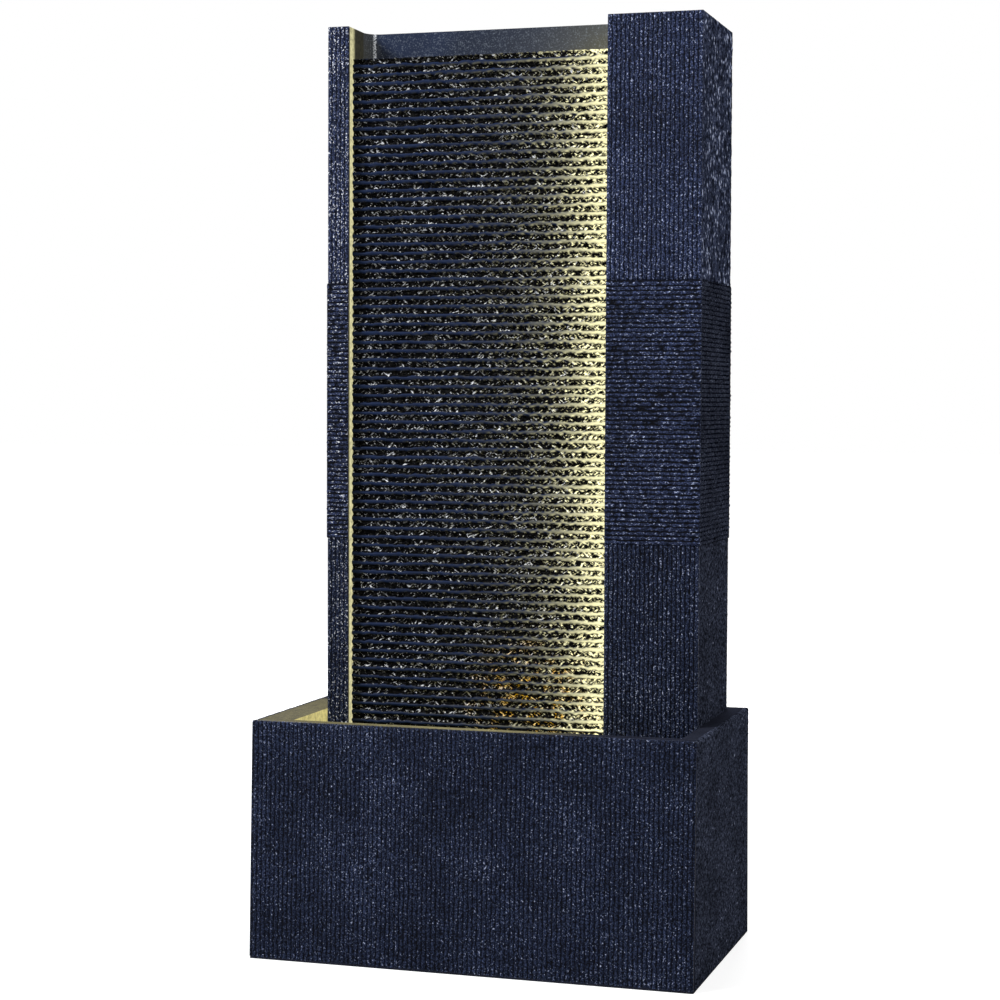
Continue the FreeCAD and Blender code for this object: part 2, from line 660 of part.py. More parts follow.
def make_wall_brackets():
    """Four angle brackets that hold the ribbed wall to the pillars, and their eight screws."""
    brackets = []
    screws = []
    for side, corner in ((1, WALL_LEFT), (-1, WALL_RIGHT)):
        for height in BRACKET_HEIGHTS:
            low = f"{height} - bracket_width / 2"
            high = f"{height} + bracket_width / 2"
            leg = (corner, f"{corner} + bracket_leg")
            plate = (corner, f"{corner} + bracket_plate")
            if side < 0:
                leg = (f"{corner} - bracket_leg", corner)
                plate = (f"{corner} - bracket_plate", corner)
            on_wall = block(*leg, WALL_BACK, f"{WALL_BACK} + bracket_plate", low, high)
            on_pillar = block(*plate, WALL_BACK, f"{WALL_BACK} + bracket_leg", low, high)
            hole_x = f"{corner} + {side} * {BRACKET_HOLE}"
            hole_y = f"{WALL_BACK} + {BRACKET_HOLE}"
            wall_hole = rod("Y", hole_x, f"{WALL_BACK} - {PAST}", height, HOLE_RADIUS,
                            f"bracket_plate + {2 * PAST}")
            pillar_hole = rod("X", f"{plate[0]} - {PAST}", hole_y, height, HOLE_RADIUS,
                              f"bracket_plate + {2 * PAST}")
            brackets.append(cut("Bracket", fuse("Angle", [on_wall, on_pillar]),
                                [wall_hole, pillar_hole]))
            shank = rod("Y", hole_x, f"{WALL_BACK} - screw_grip", height, "screw_radius",
                        "screw_grip + bracket_plate")
            head = rod("Y", hole_x, f"{WALL_BACK} + bracket_plate", height, "screw_head",
                       "screw_head_height")
            screws.append(fuse("WallScrew", [shank, head]))
            shank_x = f"{corner} - screw_grip" if side > 0 else f"{corner} - bracket_plate"
            head_x = f"{corner} + bracket_plate" if side > 0 else \
                f"{corner} - bracket_plate - screw_head_height"
            shank = rod("X", shank_x, hole_y, height, "screw_radius",
                        "screw_grip + bracket_plate")
            head = rod("X", head_x, hole_y, height, "screw_head", "screw_head_height")
            screws.append(fuse("PillarScrew", [shank, head]))
    return [group("wall_brackets", brackets), group("bracket_screws", screws)]


# Access door

HINGE_Y = f"({TOWER_BACK} + knuckle_radius + hinge_lift)"
HINGE_HEIGHTS = (f"({DOOR_FOOT} + hinge_inset)", f"({DOOR_TOP} - hinge_inset)")
LEAF_NEAR = "(knuckle_radius + 2 * part_gap)"
KNOB_X = f"({DOOR_RIGHT} - door_gap - knob_inset)"
DOOR_MIDDLE = f"(({DOOR_FOOT} + {DOOR_TOP}) / 2)"
KNOB_STEM = "(knob_radius / 2)"


def make_door():
    """Door leaf, its knob, the steel plate for the catch and the catch itself."""
    slab = block(f"{DOOR_LEFT} + door_gap", f"{DOOR_RIGHT} - door_gap", REAR_FACE, TOWER_BACK,
                 f"{DOOR_FOOT} + door_gap", f"{DOOR_TOP} - door_gap")
    stem_hole = rod("Y", KNOB_X, f"{REAR_FACE} - {PAST}", DOOR_MIDDLE,
                    f"{KNOB_STEM} + hole_clearance", f"rear_plate + {2 * PAST}")
    door = cut("access_door", slab, [stem_hole])
    knob = turned("door_knob", [
        ("0", "-rear_plate"),
        (KNOB_STEM, "-rear_plate"),
        (KNOB_STEM, "0"),
        ("knob_radius - 2", "0"),
        ("knob_radius - 4", "knob_length / 2"),
        ("knob_radius", "knob_length - 4"),
        ("knob_radius - 1", "knob_length"),
        ("0", "knob_length"),
    ], (KNOB_X, TOWER_BACK, DOOR_MIDDLE), "Y")
    free_edge = f"({DOOR_RIGHT} - door_gap)"
    catch_foot = f"{DOOR_MIDDLE} - catch_height / 2"
    catch_top = f"{DOOR_MIDDLE} + catch_height / 2"
    plate = block(f"{free_edge} - catch_reach", f"{free_edge} - part_gap",
                  f"{REAR_FACE} - catch_plate", REAR_FACE, catch_foot, catch_top, "catch_plate")
    catch_face = f"{REAR_FACE} - catch_plate - part_gap"
    catch_back = f"{REAR_FACE} - catch_plate - catch_depth"
    nose = block(f"{free_edge} - catch_reach", f"{DOOR_RIGHT} + catch_reach", catch_back,
                 catch_face, catch_foot, catch_top)
    heel = block(DOOR_RIGHT, f"{DOOR_RIGHT} + catch_reach", catch_back, REAR_FACE,
                 catch_foot, catch_top)
    catch = fuse("magnetic_catch", [nose, heel])
    return [door, knob, plate, catch]


def knuckle(low, high):
    """Make one hinge knuckle between two heights."""
    return rod("Z", DOOR_LEFT, HINGE_Y, low, "knuckle_radius", f"({high}) - ({low})")


def make_hinges():
    """Two butt hinges: leaves on the panel, leaves on the door, and their pins."""
    plate_top = f"{TOWER_BACK} + leaf_plate"
    fixed = []
    moving = []
    pins = []
    for middle in HINGE_HEIGHTS:
        low = f"({middle} - hinge_height / 2)"
        high = f"({middle} + hinge_height / 2)"
        lower = f"({low} + hinge_height / 3)"
        upper = f"({high} - hinge_height / 3)"
        bore = rod("Z", DOOR_LEFT, HINGE_Y, f"{low} - {PAST}",
                   "hinge_pin_radius + running_clearance", f"hinge_height + {2 * PAST}")
        leaf = block(f"{DOOR_LEFT} - hinge_leaf", f"{DOOR_LEFT} - {LEAF_NEAR}", TOWER_BACK,
                     plate_top, low, high)
        tabs = [
            block(f"{DOOR_LEFT} - {LEAF_NEAR}", DOOR_LEFT, TOWER_BACK, plate_top, start, end)
            for start, end in ((low, lower), (upper, high))
        ]
        outer = [knuckle(low, lower), knuckle(upper, high)]
        fixed.append(cut("FixedLeaf", fuse("FixedBlank", [leaf] + tabs + outer), [bore]))
        start = f"({lower} + part_gap)"
        end = f"({upper} - part_gap)"
        leaf = block(f"{DOOR_LEFT} + {LEAF_NEAR}", f"{DOOR_LEFT} + hinge_leaf", TOWER_BACK,
                     plate_top, low, high)
        tab = block(DOOR_LEFT, f"{DOOR_LEFT} + {LEAF_NEAR}", TOWER_BACK, plate_top, start, end)
        bore = rod("Z", DOOR_LEFT, HINGE_Y, f"{low} - {PAST}",
                   "hinge_pin_radius + running_clearance", f"hinge_height + {2 * PAST}")
        moving.append(cut("DoorLeaf", fuse("DoorBlank", [leaf, tab, knuckle(start, end)]),
                          [bore]))
        shank = rod("Z", DOOR_LEFT, HINGE_Y, low, "hinge_pin_radius", "hinge_height")
        head = rod("Z", DOOR_LEFT, HINGE_Y, high, "knuckle_radius - 1", "leaf_plate")
        pins.append(fuse("HingePin", [shank, head]))
    return [group("hinge_leaves", fixed), group("door_hinge_leaves", moving),
            group("hinge_pins", pins)]


# Light strip in the wide pillar

CHANNEL_FRONT = f"({LED_MIDDLE} - led_slot / 2 + led_fit)"
CHANNEL_BACK = f"({LED_MIDDLE} + led_slot / 2 - led_fit)"
CHANNEL_FOOT = f"({LED_FOOT} + led_fit)"
CHANNEL_TOP = f"({LED_TOP} - led_fit)"
CHANNEL_DEEP = f"({WALL_RIGHT} + led_depth)"
BOARD_FACE = f"({CHANNEL_DEEP} - led_channel_skin - led_board)"


def make_light_strip():
    """Aluminium channel, light strip with its chips, diffuser and end caps."""
    outer = block(WALL_RIGHT, CHANNEL_DEEP, CHANNEL_FRONT, CHANNEL_BACK,
                  f"{CHANNEL_FOOT} + led_cap", f"{CHANNEL_TOP} - led_cap")
    inner_front = f"({CHANNEL_FRONT} + led_channel_skin)"
    inner_back = f"({CHANNEL_BACK} - led_channel_skin)"
    inner = block(f"{WALL_RIGHT} - {PAST}", f"{CHANNEL_DEEP} - led_channel_skin", inner_front,
                  inner_back, CHANNEL_FOOT, CHANNEL_TOP)
    channel = cut("led_channel", outer, [inner])
    board = block(BOARD_FACE, f"{CHANNEL_DEEP} - led_channel_skin", inner_front, inner_back,
                  f"{CHANNEL_FOOT} + led_cap", f"{CHANNEL_TOP} - led_cap", "led_strip")
    lit = f"({CHANNEL_TOP} - {CHANNEL_FOOT} - 2 * led_cap)"
    chips = []
    for index in range(int(number(f"{lit} / led_pitch"))):
        low = f"{CHANNEL_FOOT} + led_cap + led_pitch * {index + 0.5} - led_chip / 2"
        chips.append(block(f"{BOARD_FACE} - led_chip_depth", BOARD_FACE,
                           f"{LED_MIDDLE} - led_chip / 2", f"{LED_MIDDLE} + led_chip / 2",
                           low, f"{low} + led_chip"))
    diffuser = block(WALL_RIGHT, f"{WALL_RIGHT} + led_cover", inner_front, inner_back,
                     f"{CHANNEL_FOOT} + led_cap", f"{CHANNEL_TOP} - led_cap", "led_diffuser")
    caps = [
        block(WALL_RIGHT, CHANNEL_DEEP, CHANNEL_FRONT, CHANNEL_BACK, low, f"{low} + led_cap")
        for low in (CHANNEL_FOOT, f"{CHANNEL_TOP} - led_cap")
    ]
    return [channel, board, group("led_chips", chips), diffuser, group("led_end_caps", caps)]


# Lamp in the basin

SPOT_X = f"({WALL_MIDDLE} + spot_offset)"
SPOT_Y = f"(({WELL_FRONT} + {TOWER_FRONT}) / 2)"
YOKE_FOOT = "(basin_floor + spot_cup_height)"
SPOT_PIVOT = f"({YOKE_FOOT} + spot_arm + spot_pivot_height)"
ARM_INNER = "(spot_radius + spot_arm_gap)"
ARM_OUTER = f"({ARM_INNER} + spot_arm)"
SPOT_BACK = "(-spot_length / 2)"
SPOT_FRONT = "(spot_length / 2)"


def tilt_head(piece):
    """Hang a piece of the lamp's head on the pivot, tilted towards the wall."""
    piece.Placement = FreeCAD.Placement(Vector(), FreeCAD.Rotation(Vector(-1, 0, 0), 1))
    bind_place(piece, SPOT_X, SPOT_Y, SPOT_PIVOT)
    bind(piece, "Placement.Rotation.Angle", "spot_tilt")
    return piece


def head_piece(label, profile):
    """Make a turned piece of the lamp's head."""
    return tilt_head(turned(label, profile, (SPOT_X, SPOT_Y, SPOT_PIVOT)))


def make_spot_head():
    """Head of the basin lamp: housing, board, lens and bezel, all turned about the beam."""
    cavity = "(spot_radius - spot_skin)"
    housing = head_piece("spot_housing", [
        ("0", SPOT_BACK),
        ("spot_radius - 2", SPOT_BACK),
        ("spot_radius", f"{SPOT_BACK} + 2"),
        ("spot_radius", SPOT_FRONT),
        (cavity, SPOT_FRONT),
        (cavity, f"{SPOT_FRONT} - spot_cavity"),
        ("0", f"{SPOT_FRONT} - spot_cavity"),
    ])
    bosses = sketch(housing, "YZ_Plane", f"part_gap - {ARM_INNER}")
    circle(bosses, "0", "0", "3 * screw_radius")
    pad(housing, bosses, "spot_arm_gap + 1")
    bosses = sketch(housing, "YZ_Plane", "spot_radius - 1")
    circle(bosses, "0", "0", "3 * screw_radius")
    pad(housing, bosses, "spot_arm_gap - part_gap + 1")
    for start, backwards in ((f"-{ARM_INNER}", True), (ARM_INNER, False)):
        holes = sketch(housing, "YZ_Plane", start)
        circle(holes, "0", "0", HOLE_RADIUS)
        pocket(housing, holes, "spot_arm_gap + spot_skin - 0.5", backwards=backwards)
    board = head_piece("spot_led_board", [
        ("0", f"{SPOT_FRONT} - spot_cavity"),
        (f"{cavity} - part_gap", f"{SPOT_FRONT} - spot_cavity"),
        (f"{cavity} - part_gap", f"{SPOT_FRONT} - spot_cavity + 2"),
        ("spot_radius / 3", f"{SPOT_FRONT} - spot_cavity + 2"),
        ("spot_radius / 6", f"{SPOT_FRONT} - spot_cavity + 5"),
        ("0", f"{SPOT_FRONT} - spot_cavity + 5"),
    ])
    lens = head_piece("spot_lens", [
        ("0", SPOT_FRONT),
        ("spot_radius", SPOT_FRONT),
        ("spot_radius", f"{SPOT_FRONT} + spot_lens"),
        ("0", f"{SPOT_FRONT} + spot_lens"),
    ])
    rim = "(spot_radius + spot_bezel_step)"
    bezel_top = f"({SPOT_FRONT} + spot_lens + 1.5)"
    bezel = head_piece("spot_bezel", [
        ("spot_radius", f"{bezel_top} - 1.5 - spot_bezel"),
        (rim, f"{bezel_top} - 1.5 - spot_bezel"),
        (rim, f"{bezel_top} - 1"),
        (f"{rim} - 1", bezel_top),
        (cavity, bezel_top),
        (cavity, f"{bezel_top} - 1.5"),
        ("spot_radius", f"{bezel_top} - 1.5"),
    ])
    return [housing, board, lens, bezel]


def make_spot_mount():
    """Suction cup, yoke and the two thumb screws that the lamp tilts on."""
    cup = turned("spot_suction_cup", [
        ("0", "2"),
        ("spot_cup_radius - 4", "0"),
        ("spot_cup_radius", "0"),
        ("spot_cup_radius - 6", "4"),
        ("spot_cup_radius / 3", "spot_cup_height"),
        ("0", "spot_cup_height"),
    ], (SPOT_X, SPOT_Y, "basin_floor"))
    half = "spot_arm_width / 2"
    arm_top = f"{SPOT_PIVOT} + {half}"
    base = block(f"{SPOT_X} - {ARM_OUTER}", f"{SPOT_X} + {ARM_OUTER}", f"{SPOT_Y} - {half}",
                 f"{SPOT_Y} + {half}", YOKE_FOOT, f"{YOKE_FOOT} + spot_arm")
    left = block(f"{SPOT_X} - {ARM_OUTER}", f"{SPOT_X} - {ARM_INNER}", f"{SPOT_Y} - {half}",
                 f"{SPOT_Y} + {half}", YOKE_FOOT, arm_top)
    right = block(f"{SPOT_X} + {ARM_INNER}", f"{SPOT_X} + {ARM_OUTER}", f"{SPOT_Y} - {half}",
                  f"{SPOT_Y} + {half}", YOKE_FOOT, arm_top)
    pivot = rod("X", f"{SPOT_X} - {ARM_OUTER} - {PAST}", SPOT_Y, SPOT_PIVOT,
                "screw_radius + running_clearance", f"2 * {ARM_OUTER} + {2 * PAST}")
    yoke = cut("spot_bracket", fuse("Yoke", [base, left, right]), [pivot])
    shank = f"(spot_arm + spot_arm_gap + spot_skin - 1)"
    screws = []
    for side in (-1, 1):
        inner_end = f"{SPOT_X} + {side} * ({ARM_OUTER} + part_gap)"
        start = inner_end if side < 0 else f"{inner_end} - {shank} - part_gap"
        head = inner_end if side > 0 else f"{inner_end} - 3 * screw_head_height"
        pin = rod("X", start, SPOT_Y, SPOT_PIVOT, "screw_radius", f"{shank} + part_gap")
        knob = rod("X", head, SPOT_Y, SPOT_PIVOT, "1.5 * screw_head", "3 * screw_head_height")
        screws.append(fuse("ThumbScrew", [pin, knob]))
    return [cup, yoke, group("spot_pivot_screws", screws)]


# Pump

PUMP_X = f"({WALL_MIDDLE} + pump_offset)"
PUMP_Y = f"(({WALL_BACK} + {REAR_FACE}) / 2)"
PUMP_FOOT = "(basin_floor + pump_cup_height)"
PUMP_TOP = f"({PUMP_FOOT} + pump_height)"
PUMP_Z = f"({PUMP_FOOT} + pump_height / 2)"
PUMP_NEAR = f"({PUMP_Y} - pump_width / 2)"
PUMP_FAR = f"({PUMP_Y} + pump_width / 2)"
VOLUTE_FACE = f"({PUMP_X} - volute_length)"
VOLUTE_WALL = "(volute_length - chamber_depth)"
COVER_BACK = f"({VOLUTE_FACE} - part_gap)"
COVER_FRONT = f"({COVER_BACK} - intake_length)"
OUTLET_AT = f"({VOLUTE_FACE} + volute_length / 2)"
SOCKET_RADIUS = "(nipple_radius + 0.6)"
WELL_RADIUS = "(rotor_radius + rotor_gap)"


def pump_block(body, start, length):
    """Pad a block of the pump's outline and round its long edges."""
    face = sketch(body, "YZ_Plane", start)
    rectangle(face, PUMP_NEAR, PUMP_FAR, PUMP_FOOT, PUMP_TOP)
    pad(body, face, length)
    round_edges(body, "pump_round", lambda middle, ends: not near(ends[0].x, ends[-1].x))


def make_pump_motor():
    """Potted motor block with the well that the magnet rotor spins in."""
    body = new_body("pump_motor")
    pump_block(body, PUMP_X, "motor_length")
    well = sketch(body, "YZ_Plane", PUMP_X)
    circle(well, PUMP_Y, PUMP_Z, WELL_RADIUS)
    pocket(body, well, "rotor_length + 5", backwards=True)
    seat = sketch(body, "YZ_Plane", f"{PUMP_X} + rotor_length + 5")
    circle(seat, PUMP_Y, PUMP_Z, "bush_radius")
    pocket(body, seat, "bush_length", backwards=True)
    return body


def make_pump_volute():
    """Impeller housing with its chamber, intake holes, bush seat and outlet boss."""
    body = new_body("pump_volute")
    pump_block(body, VOLUTE_FACE, "volute_length")
    boss = sketch(body, "XY_Plane", f"{PUMP_TOP} - 1")
    circle(boss, OUTLET_AT, PUMP_Y, f"{SOCKET_RADIUS} + 2.5")
    pad(body, boss, "outlet_boss + 1")
    chamber = sketch(body, "YZ_Plane", PUMP_X)
    circle(chamber, PUMP_Y, PUMP_Z, "chamber_radius")
    pocket(body, chamber, "chamber_depth")
    intake = sketch(body, "YZ_Plane", VOLUTE_FACE)
    for index in range(6):
        turn = math.radians(60 * index)
        circle(intake, f"{PUMP_Y} + chamber_radius * {0.5 * math.cos(turn):.4f}",
               f"{PUMP_Z} + chamber_radius * {0.5 * math.sin(turn):.4f}", "chamber_radius / 6")
    pocket(body, intake, VOLUTE_WALL, backwards=True)
    seat = sketch(body, "YZ_Plane", f"{PUMP_X} - chamber_depth")
    circle(seat, PUMP_Y, PUMP_Z, "bush_radius")
    pocket(body, seat, "bush_length")
    socket = sketch(body, "XY_Plane", f"{PUMP_TOP} + outlet_boss")
    circle(socket, OUTLET_AT, PUMP_Y, SOCKET_RADIUS)
    pocket(body, socket, "outlet_boss + pump_height / 4")
    return body


def make_intake_cover():
    """Slotted strainer that pushes onto the front of the impeller housing."""
    body = new_body("intake_cover")
    pump_block(body, COVER_FRONT, "intake_length")
    hollow = sketch(body, "YZ_Plane", COVER_BACK)
    rectangle(hollow, f"{PUMP_NEAR} + cover_skin", f"{PUMP_FAR} - cover_skin",
              f"{PUMP_FOOT} + cover_skin", f"{PUMP_TOP} - cover_skin")
    pocket(body, hollow, "intake_length - cover_skin")
    slots = sketch(body, "YZ_Plane", COVER_FRONT)
    for side in (-1, 1):
        for index in range(3):
            middle = f"{PUMP_Y} + {side} * (dial_radius + 3 + 4.5 * {index})"
            rectangle(slots, f"{middle} - 1.25", f"{middle} + 1.25",
                      f"{PUMP_FOOT} + 3 * cover_skin", f"{PUMP_TOP} - 3 * cover_skin")
    pocket(body, slots, "cover_skin", backwards=True)
    ports = sketch(body, "YZ_Plane", COVER_FRONT)
    circle(ports, PUMP_Y, PUMP_Z, "dial_stub + running_clearance")
    for index in range(4):
        turn = math.radians(90 * index + 45)
        circle(ports, f"{PUMP_Y} + dial_radius * {0.6 * math.cos(turn):.4f}",
               f"{PUMP_Z} + dial_radius * {0.6 * math.sin(turn):.4f}", "dial_radius / 5")
    pocket(body, ports, "cover_skin", backwards=True)
    return body


def make_flow_dial():
    """Dial on the intake cover that opens and closes its four ports."""
    face = "(-part_gap)"
    front = f"({face} - dial_plate)"
    dial = turned("flow_dial", [
        ("0", front),
        ("dial_radius", front),
        ("dial_radius", face),
        ("dial_stub", face),
        ("dial_stub", "cover_skin + part_gap"),
        ("dial_stub + 1", "cover_skin + part_gap"),
        ("dial_stub", "cover_skin + part_gap + 2"),
        ("0", "cover_skin + part_gap + 2"),
    ], (COVER_FRONT, PUMP_Y, PUMP_Z), "X")
    grip = sketch(dial, "XY_Plane", f"{front} - 3")
    rectangle(grip, "-1.5", "1.5", "1 - dial_radius", "dial_radius - 1")
    pad(dial, grip, "3.5")
    ports = sketch(dial, "XY_Plane", face)
    for index in range(4):
        turn = math.radians(90 * index + 45)
        circle(ports, f"dial_radius * {0.6 * math.cos(turn):.4f}",
               f"dial_radius * {0.6 * math.sin(turn):.4f}", "dial_radius / 5")
    pocket(dial, ports, "dial_plate + 1")
    return dial


def make_impeller():
    """Magnet rotor with a disc of blades, turning on the ceramic shaft."""
    bore = "(shaft_radius + running_clearance)"
    impeller = turned("impeller", [
        (bore, "-(chamber_depth - 2)"),
        ("bush_radius + 1", "-(chamber_depth - 2)"),
        ("bush_radius + 1", "-1 - blade_plate"),
        ("blade_radius", "-1 - blade_plate"),
        ("blade_radius", "-1"),
        ("rotor_radius - 2", "-1"),
        ("rotor_radius - 2", "3"),
        ("rotor_radius", "3"),
        ("rotor_radius", "3 + rotor_length"),
        (bore, "3 + rotor_length"),
    ], (PUMP_X, PUMP_Y, PUMP_Z), "X")
    vane = sketch(impeller, "XY_Plane", "-1 - blade_plate - blade_height")
    rectangle(vane, "bush_radius", "blade_radius - 0.5", "-blade_plate / 2", "blade_plate / 2")
    first = pad(impeller, vane, "blade_height + blade_plate / 2")
    vanes = impeller.newObject("PartDesign::PolarPattern", "Blades")
    vanes.Originals = [first]
    vanes.Axis = (origin_part(impeller, "Z_Axis"), [""])
    vanes.Angle = 360
    bind(vanes, "Occurrences", "blade_count")
    impeller.Tip = vanes
    return impeller


def make_shaft():
    """Fixed ceramic shaft and the two rubber bushes that hold its ends."""
    front = f"({PUMP_X} - chamber_depth - bush_length)"
    back = f"({PUMP_X} + rotor_length + 5)"
    shaft = rod("X", f"{front} + 1", PUMP_Y, PUMP_Z, "shaft_radius",
                f"{back} + bush_length - {front} - 2", "impeller_shaft")
    bushes = []
    for start in (front, back):
        outer = rod("X", start, PUMP_Y, PUMP_Z, "bush_radius", "bush_length")
        hole = rod("X", f"{start} - {PAST}", PUMP_Y, PUMP_Z, "shaft_radius",
                   f"bush_length + {2 * PAST}")
        bushes.append(cut("Bush", outer, [hole]))
    return [shaft, group("shaft_bushes", bushes)]


def make_pump_cups():
    """Four suction cups under the pump."""
    inset = "(pump_cup_radius + 2)"
    cups = []
    for x in (f"{VOLUTE_FACE} + {inset}", f"{PUMP_X} + motor_length - {inset}"):
        for y in (f"{PUMP_NEAR} + {inset}", f"{PUMP_FAR} - {inset}"):
            cups.append(cone(x, y, "basin_floor", "pump_cup_radius", "pump_cup_radius / 2",
                             "pump_cup_height"))
    return group("pump_suction_cups", cups)


# Pipework

FEED_X = f"({WALL_MIDDLE} + feed_offset)"
NIPPLE_FOOT = f"({PUMP_TOP} + outlet_boss)"
HOSE_BORE = "(nipple_radius + hole_clearance)"
HOSE_RADIUS = f"({HOSE_BORE} + hose_wall)"
HOSE_FOOT = f"({NIPPLE_FOOT} + nipple_collar)"
HOSE_TOP = f"({TROUGH_BOTTOM} - nut_plate - nipple_collar)"
# Flattening steps of the riser hose between its two straight ends
HOSE_STEPS = 6


def make_nipple():
    """Barbed hose nipple that plugs into the pump's outlet boss."""
    plugged = f"({SOCKET_RADIUS} - hole_clearance)"
    return turned("outlet_nipple", [
        ("nipple_bore", "-outlet_boss"),
        (plugged, "-outlet_boss"),
        (plugged, "0"),
        (f"{SOCKET_RADIUS} + nipple_collar", "0"),
        (f"{SOCKET_RADIUS} + nipple_collar", "nipple_collar"),
        ("nipple_radius", "nipple_collar"),
        ("nipple_radius", "nipple_length"),
        ("nipple_bore", "nipple_length"),
    ], (OUTLET_AT, PUMP_Y, NIPPLE_FOOT))


def hose_points():
    """Lay the hose from the pump to the trough: both ends upright, with a slight sideways bow."""
    start = Vector(number(OUTLET_AT), number(PUMP_Y), number(HOSE_FOOT))
    end = Vector(number(FEED_X), number(TROUGH_MIDDLE), number(HOSE_TOP))
    straight = 2.2 * number("nipple_length")
    points = [start, start + Vector(0, 0, straight)]
    for step in range(1, HOSE_STEPS):
        share = step / HOSE_STEPS
        eased = share * share * (3 - 2 * share)
        spot = start + (end - start) * eased
        spot.x += number("hose_bow") * math.sin(math.pi * share)
        spot.z = start.z + straight + (end.z - start.z - 2 * straight) * share
        points.append(spot)
    points += [end - Vector(0, 0, straight), end]
    return points


def rounded_path(points):
    """Join straight runs by tangent arcs, each as large as its two runs allow."""
    edges = []
    reached = points[0]
    for before, corner, after in zip(points, points[1:], points[2:]):
        inward = (before - corner).normalize()
        outward = (after - corner).normalize()
        set_back = 0.45 * min(before.distanceToPoint(corner), after.distanceToPoint(corner))
        half_turn = (math.pi - inward.getAngle(outward)) / 2
        radius = set_back / math.tan(half_turn)
        middle = corner + (inward + outward).normalize() * radius * (1 / math.cos(half_turn) - 1)
        first = corner + inward * set_back
        last = corner + outward * set_back
        edges.append(Part.LineSegment(reached, first).toShape())
        edges.append(Part.Arc(first, middle, last).toShape())
        print(f"hose bend radius {radius:.0f} mm")
        reached = last
    edges.append(Part.LineSegment(reached, points[-1]).toShape())
    return Part.Wire(edges)


def sweep_disc(path, radius, start):
    """Sweep an upright disc along a path."""
    ring = Part.Wire([Part.Circle(start, Vector(0, 0, 1), radius).toShape()])
    return path.makePipeShell([ring], True, False)


def make_riser_hose():
    """Clear hose that carries the water from the pump up to the trough."""
    points = hose_points()
    path = rounded_path(points)
    outer = sweep_disc(path, number(HOSE_RADIUS), points[0])
    bore = sweep_disc(path, number(HOSE_BORE), points[0])
    hose = doc.addObject("Part::Feature", "RiserHose")
    hose.Label = "riser_hose"
    hose.Shape = outer.cut(bore)
    section = math.pi * (number(HOSE_RADIUS) ** 2 - number(HOSE_BORE) ** 2)
    print(f"hose volume over section times length {hose.Shape.Volume / section / path.Length:.4f}")
    return hose


def make_hose_clamps():
    """Band clamp with its screw block at each end of the hose."""
    band = f"({HOSE_RADIUS} + clamp_band)"
    clamps = []
    for x, y, low in ((OUTLET_AT, PUMP_Y, f"{HOSE_FOOT} + clamp_width / 2"),
                      (FEED_X, TROUGH_MIDDLE, f"{HOSE_TOP} - clamp_width * 1.5")):
        outer = rod("Z", x, y, low, band, "clamp_width")
        screw_block = block(f"{x} - {band} - clamp_screw", f"{x} - {HOSE_RADIUS}",
                            f"{y} - clamp_screw", f"{y} + clamp_screw",
                            f"{low} + clamp_band", f"{low} + clamp_width - clamp_band")
        inner = rod("Z", x, y, f"{low} - {PAST}", HOSE_RADIUS, f"clamp_width + {2 * PAST}")
        clamps.append(cut("Clamp", fuse("Band", [outer, screw_block]), [inner]))
    return group("hose_clamps", clamps)


SPREADER_Z = f"({TROUGH_FLOOR} + gasket_plate + flange_plate + spreader_lift + spreader_radius)"
SPREADER_LEFT = f"({WALL_LEFT} + spreader_end)"
SPREADER_RIGHT = f"({WALL_RIGHT} - spreader_end)"
SPREADER_LENGTH = f"({SPREADER_RIGHT} - {SPREADER_LEFT})"


def make_trough_fitting():
    """Fitting through the trough's floor, with its gasket and nut."""
    lower = "(-gasket_plate - trough_floor - nut_plate)"
    fitting = turned("trough_fitting", [
        ("nipple_bore", f"{lower} - nipple_length"),
        ("nipple_radius", f"{lower} - nipple_length"),
        ("nipple_radius", lower),
        ("fitting_thread", lower),
        ("fitting_thread", "0"),
        ("fitting_flange", "0"),
        ("fitting_flange", "flange_plate"),
        ("spigot_radius", "flange_plate"),
        ("spigot_radius", "flange_plate + spreader_lift"),
        ("nipple_bore", "flange_plate + spreader_lift"),
    ], (FEED_X, TROUGH_MIDDLE, f"{TROUGH_FLOOR} + gasket_plate"))
    gasket = turned("fitting_gasket", [
        ("fitting_thread", "0"),
        ("fitting_flange", "0"),
        ("fitting_flange", "gasket_plate"),
        ("fitting_thread", "gasket_plate"),
    ], (FEED_X, TROUGH_MIDDLE, TROUGH_FLOOR))
    hexagon = doc.addObject("Part::Prism", "Hexagon")
    hexagon.Polygon = 6
    bind(hexagon, "Circumradius", "fitting_flange")
    bind(hexagon, "Height", "nut_plate")
    bind_place(hexagon, FEED_X, TROUGH_MIDDLE, f"{TROUGH_BOTTOM} - nut_plate")
    thread = rod("Z", FEED_X, TROUGH_MIDDLE, f"{TROUGH_BOTTOM} - nut_plate - {PAST}",
                 "fitting_thread", f"nut_plate + {2 * PAST}")
    return [fitting, gasket, cut("fitting_nut", hexagon, [thread])]


